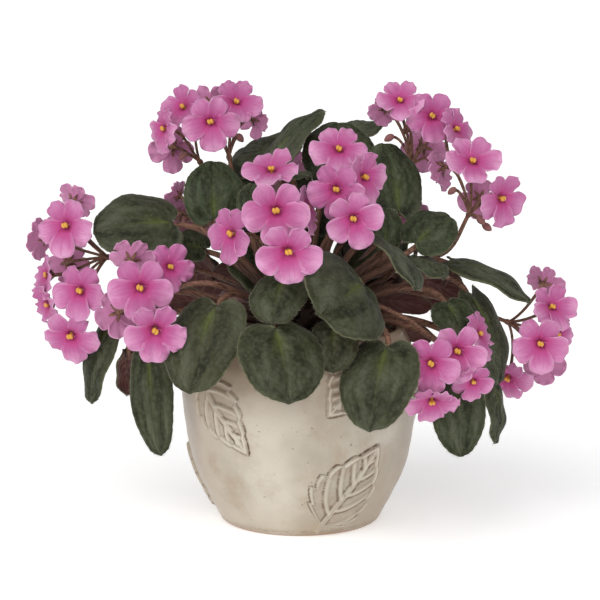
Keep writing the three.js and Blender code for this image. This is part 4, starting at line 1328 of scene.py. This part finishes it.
def add_anthers(bm, bloom, rng):
    """Adds the two yellow anther lobes, which touch, and the slim style beside them."""
    lean = rng.uniform(-0.5, 0.5)
    thick, tall, deep = ANTHER_SHAPE
    for side in (-1, 1):
        verts = bmesh.ops.create_icosphere(bm, subdivisions=2, radius=1.0)["verts"]
        for vert in verts:
            slit = 1 - 0.3 * bell(vert.co.x, 0.3) * max(0.0, vert.co.z)
            x = vert.co.x * thick + side * ANTHER_SPACING
            y = vert.co.y * (tall - 0.014 * side * vert.co.x) - 0.01 * side
            vert.co = bloom.place(*turned(lean, y, x), vert.co.z * deep * slit + 0.12)
    filament = [bloom.place(0, 0, -0.12), bloom.place(0, 0, 0.1)]
    add_tubes(bm, [(filament, [0.9 * MM, 0.7 * MM])], sides=6)
    style = [bloom.place(0.01, 0.02, -0.02), bloom.place(0.05, 0.12, 0.1), bloom.place(0.04, 0.19, 0.17)]
    add_tubes(bm, [(style, [0.3 * MM, 0.25 * MM, 0.32 * MM])], 1, 6)


@functools.cache
def pot_line():
    """The pot's outer profile as fine points of (radius, height) in millimetres."""
    return [smooth_outline(POT_PROFILE, i / POT_ROWS) for i in range(POT_ROWS + 1)]


@functools.cache
def pot_columns():
    """The heights and the radii of the pot's outer profile."""
    return np.array([point[1] for point in pot_line()]), np.array([point[0] for point in pot_line()])


def pot_radius(height):
    return float(np.interp(height, *pot_columns()))


def wall_swell(angle, height):
    """The unevenness of the hand-thrown wall at a bearing in radians and a height, in millimetres."""
    swell = THROWING_RINGS * math.sin(height * THROWING_RING_PITCH + 0.6 * math.sin(angle))
    for size, turns, start, climb in WALL_SWELLS:
        swell += size * math.sin(turns * angle + start + height * climb)
    to_lip = POT_PROFILE[-1][1] + 1 - height
    return swell * clamp(height / 8) * clamp(to_lip / 6)


def relief_half_width(along):
    """Half the width of a raised leaf at a share of its length, as a share of its full width."""
    return 0.5 * math.sin(math.pi * clamp(along) ** RELIEF_FULLNESS)


def relief_shape(along, side, width, length):
    """How far a raised leaf lifts at a place along it and beside its midrib, how brown (above 0) or
    pale (below 0) its glaze is there, and how far inside its edge the place lies."""
    inside = clamp(along)
    place = (inside * RELIEF_TEETH + 0.1) % 1
    tooth = 0.82 + 0.18 * place**0.7 * (1 - smooth_step(0.86, 1.0, place))
    slope = 0.5 * math.pi * math.cos(math.pi * inside**RELIEF_FULLNESS) * width / length
    past = max(along - 1, -along, 0.0) * length
    within = relief_half_width(along) * tooth + 0.012 - abs(side)
    depth = within * width / math.hypot(1, slope) - past
    off = abs(side) * width
    body = smooth_step(-0.4, 0.4, depth)
    rim = bell(depth - 1.0, RELIEF_RIM_WIDTH)
    midrib = bell(off, lerp(*RELIEF_MIDRIB_WIDTHS, inside)) * smooth_step(1.04, 0.9, along)
    groove = bell(off, RELIEF_GROOVE_WIDTH) * (1 - inside)
    lean = lerp(*RELIEF_VEIN_LEANS, inside)
    spacing = length / RELIEF_VEINS / math.hypot(1, lean)
    phase = (along - off * lean * (0.75 + 0.02 * off) / length) * RELIEF_VEINS
    from_vein = ((phase + (0.85 if side < 0 else 0.55)) % 1 - 0.5) * spacing
    reaches = smooth_step(0.8, 3.4, depth)
    vein = bell(from_vein, RELIEF_VEIN_WIDTH) * reaches * (1 - 0.8 * off / width)
    crest = max(rim, midrib, vein)
    ribs = RELIEF_MIDRIB_LIFT * midrib - RELIEF_GROOVE_DEPTH * groove
    lift = body * (RELIEF_BODY_LIFT + max(RELIEF_RIM_LIFT * rim, ribs, RELIEF_VEIN_LIFT * vein))
    stalk = bell(off, RELIEF_STALK_WIDTH) * smooth_step(-RELIEF_STALK, -RELIEF_STALK + 0.04, along)
    lift = max(lift, RELIEF_STALK_LIFT * stalk * smooth_step(0.1, 0.0, along))
    before_vein = bell(from_vein + STAIN_FROM_VEIN, STAIN_WIDTH)
    behind_vein = 0.35 * bell(from_vein - STAIN_FROM_VEIN, STAIN_WIDTH)
    near_rim = 0.45 * bell(depth - STAIN_FROM_EDGE, STAIN_WIDTH)
    near_midrib = bell(off - STAIN_FROM_MIDRIB, STAIN_WIDTH)
    hollow = max(near_rim, near_midrib, max(before_vein, behind_vein) * reaches)
    outside = bell(depth + 0.5, 0.5) * smooth_step(-0.02, 0.08, along) * (1.0 if side < 0 else 0.4)
    stain = max(outside, body * (1 - crest) * max(0.14, 0.95 * hollow), groove * body * 0.45)
    return lift, max(stain, 0.02) - body * crest**2 * (1 - groove) * 0.7, depth


def add_relief(bm, relief):
    """Adds one raised leaf as a patch that rises out of the pot's wall and dives back into it."""
    (stem_bearing, stem_height), (tip_bearing, tip_height) = relief.stem, relief.tip
    middle = pot_radius((stem_height + tip_height) / 2)
    run = math.radians(tip_bearing - stem_bearing) * middle
    rise = tip_height - stem_height
    length = math.hypot(run, rise)
    stain_layer = bm.verts.layers.float.get("stain")
    verts = bmesh.ops.create_grid(bm, x_segments=RELIEF_ROWS, y_segments=RELIEF_COLUMNS, size=0.5)["verts"]
    for vert in verts:
        along = lerp(-RELIEF_STALK - 0.02, 1 + RELIEF_MARGIN / length, vert.co.x + 0.5)
        side = 2 * vert.co.y * (relief_half_width(along) + RELIEF_BORDER / relief.width)
        lift, stain, depth = relief_shape(along, side, relief.width, length)
        near_stalk = smooth_step(3.2, 1.8, abs(side) * relief.width) * (along < 0.1)
        outside = smooth_step(-1.0, -RELIEF_MARGIN, depth) * (1 - near_stalk)
        border = max(abs(vert.co.x), abs(vert.co.y))
        sunk = max(outside, float(border > 0.499)) * RELIEF_SINK
        bearing = math.radians(stem_bearing) + (along * run + side * relief.width * rise / length) / middle
        height = stem_height + along * rise - side * relief.width * run / length
        height += max(0.0, RELIEF_LOWEST - height) * 0.9
        radius = pot_radius(height) + wall_swell(bearing, height) + 0.05 + lift - sunk
        vert.co = Vector((radius * math.sin(bearing), -radius * math.cos(bearing), height)) * MM
        vert[stain_layer] = stain * smooth_step(0.5, 0.46, border)
    rim = {edge for vert in verts for edge in vert.link_edges if edge.is_boundary}
    bmesh.ops.holes_fill(bm, edges=list(rim), sides=0)


def pot_mesh():
    """An empty mesh with the layers that the glaze reads."""
    bm = bmesh.new()
    for name in ("stain", "bare"):
        bm.verts.layers.float.new(name)
    return bm


def make_pot(pot):
    """Spins the pot's profile, as its wall and, in a piece of its own, its raised leaves."""
    wall = pot.wall / MM
    outer = pot_line()
    foot_radius = outer[0][0]
    foot = [
        (0, 0),
        (foot_radius * 0.5, 0),
        (foot_radius - POT_FOOT_EDGE, 0),
        (foot_radius - POT_FOOT_EDGE * 0.3, POT_FOOT_EDGE * 0.3),
    ]
    wall_profile = [point for point in outer if point[1] > POT_FOOT_EDGE]
    top_radius, top_height = outer[-1]
    lip = []
    for i in range(1, POT_LIP_ROWS + 1):
        angle = math.pi * i / POT_LIP_ROWS
        radius = top_radius - POT_LIP_RADIUS + POT_LIP_RADIUS * math.cos(angle)
        lip.append((radius, top_height + POT_LIP_RADIUS * math.sin(angle)))
    inner = []
    for i in range(1, POT_INNER_ROWS + 1):
        height = lerp(top_height, POT_FLOOR, i / POT_INNER_ROWS)
        inner.append((pot_radius(height) - wall, height))
    bm = pot_mesh()
    spin_profile(bm, [*foot, *wall_profile, *lip, *inner, (0, POT_FLOOR)], POT_SIDES)
    stain_layer = bm.verts.layers.float.get("stain")
    bare_layer = bm.verts.layers.float.get("bare")
    for vert in bm.verts:
        radius = math.hypot(vert.co.x, vert.co.y) / MM
        height = vert.co.z / MM
        angle = math.atan2(vert.co.x, -vert.co.y)
        if radius > pot_radius(height) - wall / 2 and radius > 1:
            scale = 1 + wall_swell(angle, height) / radius
            vert.co.x *= scale
            vert.co.y *= scale
            vert[stain_layer] = POT_FOOT_STAIN * bell(height - POT_FOOT_STAIN_HEIGHT, 1.1)
        vert[bare_layer] = clamp((POT_BARE_HEIGHT + 0.5 * math.sin(5 * angle) - height) / 0.9)
    glaze = glaze_material(pot)
    finish_piece(bm, "glazed_pot", [glaze], "pot")
    bm = pot_mesh()
    for relief in RELIEFS:
        add_relief(bm, relief)
    finish_piece(bm, "raised_leaves", [glaze], "pot")


def make_soil(pot):
    """Lumpy soil with a few pale grains, up to just below the pot's lip."""
    rng = random.Random(SEED)
    bm = bmesh.new()
    wall = pot.wall / MM
    edge = pot_radius(SOIL_TOP) - wall - 2 * SOIL_GAP
    bottom = POT_FLOOR + SOIL_FLOOR_GAP
    profile = [(0, bottom), (pot_radius(POT_FLOOR) - wall - 3, bottom)]
    for height in SOIL_SIDE_HEIGHTS:
        profile.append((pot_radius(height) - wall - SOIL_GAP - 0.3, height))
    for i in range(SOIL_RINGS + 1):
        share = i / SOIL_RINGS
        rise = 1 - smooth_step(0, 0.8, share) * 2
        profile.append((edge * (1 - share), SOIL_TOP - SOIL_RISE * rise))
    spin_profile(bm, profile, SOIL_SIDES)
    for vert in bm.verts:
        if vert.co.z > (SOIL_TOP - SOIL_RISE - 0.5) * MM:
            vert.co.z += rng.uniform(*SOIL_UNEVENNESS) * MM
    for i in range(SOIL_GRAINS):
        radius = edge * math.sqrt(rng.uniform(0.04, 0.9))
        size = rng.uniform(*SOIL_GRAIN_RADII)
        centre = around((rng.uniform(0, 360), radius, SOIL_TOP + rng.uniform(-0.6, 0.6)))
        grain = bmesh.ops.create_icosphere(bm, subdivisions=1, radius=size * MM)["verts"]
        for vert in grain:
            vert.co *= rng.uniform(0.75, 1.2)
        bmesh.ops.translate(bm, vec=centre, verts=grain)
        for face in {face for vert in grain for face in vert.link_faces}:
            face.material_index = 1 if i % PERLITE_EVERY == 0 else 0
    finish_piece(bm, "soil_fill", [soil_material(pot), perlite_material()], "soil")


def cut_stalk(line, joint):
    """The lower points of a stalk, which the crown carries, and the upper ones."""
    points = evenly(line, STALK_STEPS)
    cut = round(STALK_STEPS * joint)
    return points[: cut + 1], points[cut:]


def make_crown(blades, sprays, foliage, materials):
    """The short stem with all petioles and the lower stretches of the flower stalks."""
    rng = random.Random(SEED + 1)
    bm = bmesh.new()
    profile = [
        (0, NECK_FOOT),
        (NECK_RADIUS * 0.7, NECK_FOOT),
        (NECK_RADIUS, NECK_FOOT + 10),
        (NECK_RADIUS, SOIL_TOP + 4),
        (NECK_RADIUS * 1.4, SOIL_TOP + 7),
        (CROWN_RADIUS, NECK_TOP - 12),
        (CROWN_RADIUS * 0.98, NECK_TOP - 7),
        (CROWN_RADIUS * 0.85, NECK_TOP - 3),
        (0, NECK_TOP + 3),
    ]
    spin_profile(bm, profile, NECK_SIDES)
    lines = [petiole_line(blade) for blade in blades.values()]
    for line, joint, _, _ in sprays.values():
        lower, _ = cut_stalk(line, joint)
        lines.append((lower, tapered(lower, STUB_RADIUS, STALK_RADIUS)))
    add_tubes(bm, lines, 0, 12)
    add_stem_hairs(bm, lines, foliage.stem_hair_spacing, foliage.hair_radius, rng)
    finish_piece(bm, "crown_and_petioles", materials, "crown")


def make_spray(name, spray, foliage, blooms, materials):
    """A spray as three pieces: its petals, its stems with sepals and buds, and its anthers."""
    line, joint, flowers, buds = spray
    rng = random.Random(f"{SEED} {name}")
    petals = bmesh.new()
    petals.verts.layers.float.new("tone")
    stems = bmesh.new()
    anthers = bmesh.new()
    _, upper = cut_stalk(line, joint)
    fork = upper[-1]
    onward = (upper[-1] - upper[-2]).normalized()
    lines = [(upper, tapered(upper, STALK_RADIUS, STALK_TIP_RADIUS * 1.15))]
    for flower in flowers:
        back = flower.place(0, 0, -0.06)
        lines.append(pedicel_line(fork, onward, back, flower.face, PEDICEL_BLOOM_RADIUS))
        for petal in PETALS:
            add_petal(petals, flower, petal, rng, blooms.petal_thickness)
        add_sepals(stems, flower)
        add_anthers(anthers, flower, rng)
    for centre in buds:
        hanging = centre - fork
        hanging.z = -8 * MM
        hanging.normalize()
        add_bud(stems, centre, hanging, BUD_RADIUS * MM * rng.uniform(0.9, 1.1), 2)
        lines.append(pedicel_line(fork, onward, centre, hanging, PEDICEL_BUD_RADIUS))
    add_tubes(stems, lines, 0, 8)
    add_bud(stems, fork, onward, FORK_RADIUS * MM, 0)
    add_stem_hairs(stems, lines, foliage.stem_hair_spacing * 1.4, foliage.hair_radius, rng)
    node = f"spray_{name}"
    finish_piece(petals, f"petals_{name}", materials["petals"], node)
    finish_piece(stems, f"stalks_{name}", materials["stems"], node)
    finish_piece(anthers, f"anthers_{name}", materials["anthers"], node)


def color_property(name, description, default):
    return FloatVectorProperty(
        name=name, description=description, subtype="COLOR", size=3, min=0, max=1, default=default
    )


def length_property(name, description, default):
    return FloatProperty(name=name, description=description, unit="LENGTH", min=0, default=default)


def count_property(name, description, default):
    return IntProperty(name=name, description=description, min=0, default=default)


def strength_property(name, description, default):
    return FloatProperty(name=name, description=description, min=0, default=default)


def angle_property(name, description, default):
    return FloatProperty(name=name, description=description, subtype="ANGLE", default=default)


class VioletPotSettings(bpy.types.PropertyGroup):
    wall: length_property("Wall", "Thickness of the pot's wall", 5.5 * MM)
    glaze_color: color_property("Glaze", "Colour of the glaze in the light patches", (0.56, 0.51, 0.42))
    # thin glaze and a painted highlight on the crests of the relief
    crest_highlight_color: color_property("Thin glaze", "Glaze on the crests of the relief", (0.68, 0.63, 0.52))
    glaze_shade: color_property("Glaze shade", "Colour of the dull patches", (0.38, 0.335, 0.26))
    # warm glaze in patches and in the crackle, and also the colour of the painted shade on the left, under
    # the leaves and at the turned-away edges
    warm_and_shade_color: color_property("Warm glaze", "Warm patches, edges and the crackle", (0.36, 0.27, 0.185))
    stain_color: color_property("Stain", "Brown in the hollows of the relief", (0.085, 0.042, 0.018))
    clay_color: color_property("Clay", "The bare clay of the foot", (0.33, 0.21, 0.13))
    soil_color: color_property("Soil", "The potting soil", (0.022, 0.014, 0.009))


class VioletFoliageSettings(bpy.types.PropertyGroup):
    blade_thickness: length_property("Blade thickness", "Thickness of a leaf blade", 0.9 * MM)
    hair_radius: length_property("Hair radius", "Radius of a hair at its root", 0.05 * MM)
    stem_hair_spacing: length_property("Hair spacing", "Length of stem for each hair", 0.45 * MM)
    margin_hairs: count_property("Margin hairs", "Hairs round a blade", 320)
    surface_hairs: count_property("Surface hairs", "Hairs on a blade", 260)
    olive_color: color_property("Olive", "Darkest leaves", (0.044, 0.043, 0.019))
    green_color: color_property("Green", "Freshest leaves", (0.034, 0.053, 0.02))
    # dark patches and veins of a leaf, and also the painted shade in its creases
    shade_color: color_property("Leaf shade", "Dark patches and veins of a leaf", (0.013, 0.015, 0.006))
    # painted highlight on the leaf's creases and puckers
    crest_highlight_color: color_property("Leaf crests", "Puckers between the veins", (0.1, 0.107, 0.066))
    # painted grey sheen of the leaf hairs
    painted_sheen_color: color_property("Leaf bloom", "Grey bloom of fine hairs", (0.1, 0.108, 0.078))
    glow_color: color_property("Leaf glow", "Yellow-green at the notch", (0.105, 0.13, 0.03))
    # pale hairs of the margin and a painted highlight on them
    margin_highlight_color: color_property("Leaf margin", "Pale line along the margin", (0.17, 0.17, 0.09))
    under_color: color_property("Underside", "Underside of the leaves", (0.13, 0.045, 0.04))
    # painted shade of the stems deep in the crown
    heart_shade_color: color_property("Heart", "Stems deep in the crown", (0.012, 0.006, 0.004))
    stem_color: color_property("Stem", "Petioles and stalks", (0.1, 0.041, 0.027))
    stem_light_color: color_property("Light stem", "Light streaks of the stems", (0.27, 0.14, 0.09))
    stem_dark_color: color_property("Dark stem", "Dark flecks of the stems", (0.022, 0.008, 0.006))
    hair_color: color_property("Hair", "Hairs of leaves and stems", (0.32, 0.3, 0.22))


class VioletBloomSettings(bpy.types.PropertyGroup):
    radius: length_property("Bloom radius", "Radius of a full-sized bloom", 17.5 * MM)
    petal_thickness: length_property("Petal thickness", "Thickness of a petal", 0.45 * MM)
    petal_color: color_property("Petal", "Middle of a petal", (0.55, 0.18, 0.37))
    petal_edge_color: color_property("Petal edge", "Outer edge of a petal", (0.78, 0.43, 0.64))
    petal_deep_color: color_property("Deep petal", "A petal's streaks and base", (0.43, 0.07, 0.24))
    # random darker tone of the petals and the painted shade of the two upper petals
    petal_dark_and_shade_color: color_property("Dark petal", "The darker upper petals", (0.4, 0.1, 0.26))
    # paler back of the petals, which is painted light shining through them
    petal_back_painted_light_color: color_property("Petal back", "Back of the petals", (0.64, 0.28, 0.47))
    flush_color: color_property("Flush", "Magenta flush round the throat", (0.5, 0.05, 0.22))
    throat_color: color_property("Throat", "Ring round the anthers", (0.25, 0.01, 0.07))
    anther_color: color_property("Anther", "The two anthers", (0.85, 0.43, 0.06))
    bud_color: color_property("Bud", "Closed buds", (0.29, 0.095, 0.125))


class VioletStageSettings(bpy.types.PropertyGroup):
    floor_color: color_property("Floor", "The plain pale floor", (0.92, 0.92, 0.92))
    floor_glow: strength_property("Floor glow", "Even light of the floor itself", 0.45)
    floor_size: length_property("Floor size", "Side of the floor", 40.0)
    key_power: strength_property("Key light", "Strength of the large light from the left", 1.3)
    front_power: strength_property("Front light", "Strength of the light from the front", 1.0)
    fill_power: strength_property("Fill light", "Strength of the light from the right", 0.2)
    light_spread: angle_property("Light spread", "Width of the large lights", math.radians(50))
    sky_strength: strength_property("Sky", "Strength of the even light", 0.34)


class VIOLET_OT_pot(bpy.types.Operator):
    """Build the glazed pot with its raised leaves"""

    bl_idname = "violet.pot"
    bl_label = "Pot"

    def execute(self, context):
        make_pot(context.scene.violet_pot)
        return {"FINISHED"}


class VIOLET_OT_soil(bpy.types.Operator):
    """Fill the pot with soil"""

    bl_idname = "violet.soil"
    bl_label = "Soil"

    def execute(self, context):
        make_soil(context.scene.violet_pot)
        return {"FINISHED"}


class VIOLET_OT_crown(bpy.types.Operator):
    """Build the crown with its petioles and the lower flower stalks"""

    bl_idname = "violet.crown"
    bl_label = "Crown"

    def execute(self, context):
        foliage = context.scene.violet_foliage
        materials = [stem_material(foliage), hair_material(foliage)]
        sprays = make_sprays(context.scene.violet_blooms.radius)
        make_crown(all_blades(), sprays, foliage, materials)
        return {"FINISHED"}


class VIOLET_OT_leaves(bpy.types.Operator):
    """Build every leaf blade with its veins and hairs"""

    bl_idname = "violet.leaves"
    bl_label = "Leaves"

    def execute(self, context):
        foliage = context.scene.violet_foliage
        hair = bpy.data.materials.get("down_hair") or hair_material(foliage)
        materials = [leaf_material(foliage), underside_material(foliage), hair]
        for name, blade in all_blades().items():
            make_blade(name, blade, foliage, materials)
        return {"FINISHED"}


class VIOLET_OT_flowers(bpy.types.Operator):
    """Build every flower spray: petals, anthers, buds and stalks"""

    bl_idname = "violet.flowers"
    bl_label = "Flowers"

    def execute(self, context):
        foliage = context.scene.violet_foliage
        blooms = context.scene.violet_blooms
        stem = bpy.data.materials.get("stem") or stem_material(foliage)
        hair = bpy.data.materials.get("down_hair") or hair_material(foliage)
        materials = {
            # the backs take a paler colour as painted light shining through the petals
            "petals": [petal_material(blooms, "petal", 0.0), petal_material(blooms, "petal_back", 0.7)],
            "stems": [stem, hair, bud_material(blooms, foliage)],
            "anthers": [anther_material(blooms), style_material(blooms)],
        }
        for name, spray in make_sprays(blooms.radius).items():
            make_spray(name, spray, foliage, blooms, materials)
        return {"FINISHED"}


def add_light(name, direction, power, spread):
    """A large even light that shines along a direction."""
    light = bpy.data.lights.new(name, "SUN")
    light.energy = power
    light.angle = spread
    lamp = bpy.data.objects.new(name, light)
    lamp.rotation_euler = Vector(direction).to_track_quat("-Z", "Y").to_euler()
    bpy.context.scene.collection.objects.link(lamp)


class VIOLET_OT_stage(bpy.types.Operator):
    """Set the plain floor, the soft lights and the camera"""

    bl_idname = "violet.stage"
    bl_label = "Stage"

    def execute(self, context):
        scene = context.scene
        stage = scene.violet_stage
        bm = bmesh.new()
        bmesh.ops.create_grid(bm, x_segments=1, y_segments=1, size=stage.floor_size / 2)
        mesh = bpy.data.meshes.new("floor")
        bm.to_mesh(mesh)
        bm.free()
        floor = bpy.data.objects.new("floor", mesh)
        scene.collection.objects.link(floor)
        material, _, shader = new_material("floor_paper", 0.9)
        shader.inputs["Base Color"].default_value = rgba(stage.floor_color)
        shader.inputs["Emission Color"].default_value = rgba(stage.floor_color)
        shader.inputs["Emission Strength"].default_value = stage.floor_glow
        mesh.materials.append(material)
        world = bpy.data.worlds.new("studio")
        world.use_nodes = True
        sky = world.node_tree.nodes["Background"]
        sky.inputs["Color"].default_value = (1, 1, 1, 1)
        sky.inputs["Strength"].default_value = stage.sky_strength
        scene.world = world
        add_light("key", KEY_DIRECTION, stage.key_power, stage.light_spread)
        add_light("front", FRONT_DIRECTION, stage.front_power, stage.light_spread)
        add_light("fill", FILL_DIRECTION, stage.fill_power, stage.light_spread)
        camera = bpy.data.cameras.new("camera")
        camera.sensor_width = SENSOR
        camera.lens = VIEW_FOCAL / VIEW_SIDE * SENSOR
        eye = bpy.data.objects.new("camera", camera)
        eye.location = VIEW_EYE
        eye.rotation_euler = VIEW_FORWARD.to_track_quat("-Z", "Y").to_euler()
        scene.collection.objects.link(eye)
        scene.camera = eye
        scene.view_settings.view_transform = "Standard"
        return {"FINISHED"}


class VIOLET_PT_panel(bpy.types.Panel):
    """Lists the sizes, the colours and the steps of the plant"""

    bl_idname = "VIOLET_PT_panel"
    bl_label = "Potted African Violet"
    bl_space_type = "VIEW_3D"
    bl_region_type = "UI"
    bl_category = "Violet"

    def draw(self, context):
        for operator in OPERATORS:
            self.layout.operator(operator.bl_idname)
        for label in SETTINGS:
            group = getattr(context.scene, label)
            box = self.layout.box()
            for key in group.__annotations__:
                box.prop(group, key)


SETTINGS = {
    "violet_pot": VioletPotSettings,
    "violet_foliage": VioletFoliageSettings,
    "violet_blooms": VioletBloomSettings,
    "violet_stage": VioletStageSettings,
}
OPERATORS = [
    VIOLET_OT_pot,
    VIOLET_OT_soil,
    VIOLET_OT_crown,
    VIOLET_OT_leaves,
    VIOLET_OT_flowers,
    VIOLET_OT_stage,
]
CLASSES = [*SETTINGS.values(), *OPERATORS, VIOLET_PT_panel]


def register():
    for item in CLASSES:
        bpy.utils.register_class(item)
    for label, group in SETTINGS.items():
        setattr(bpy.types.Scene, label, PointerProperty(type=group))


def unregister():
    for label in SETTINGS:
        delattr(bpy.types.Scene, label)
    for item in reversed(CLASSES):
        bpy.utils.unregister_class(item)


def main():
    """Builds the plant and its stage."""
    register()
    bpy.ops.violet.pot()
    bpy.ops.violet.soil()
    bpy.ops.violet.crown()
    bpy.ops.violet.leaves()
    bpy.ops.violet.flowers()
    bpy.ops.violet.stage()


if __name__ == "__main__":
    main()
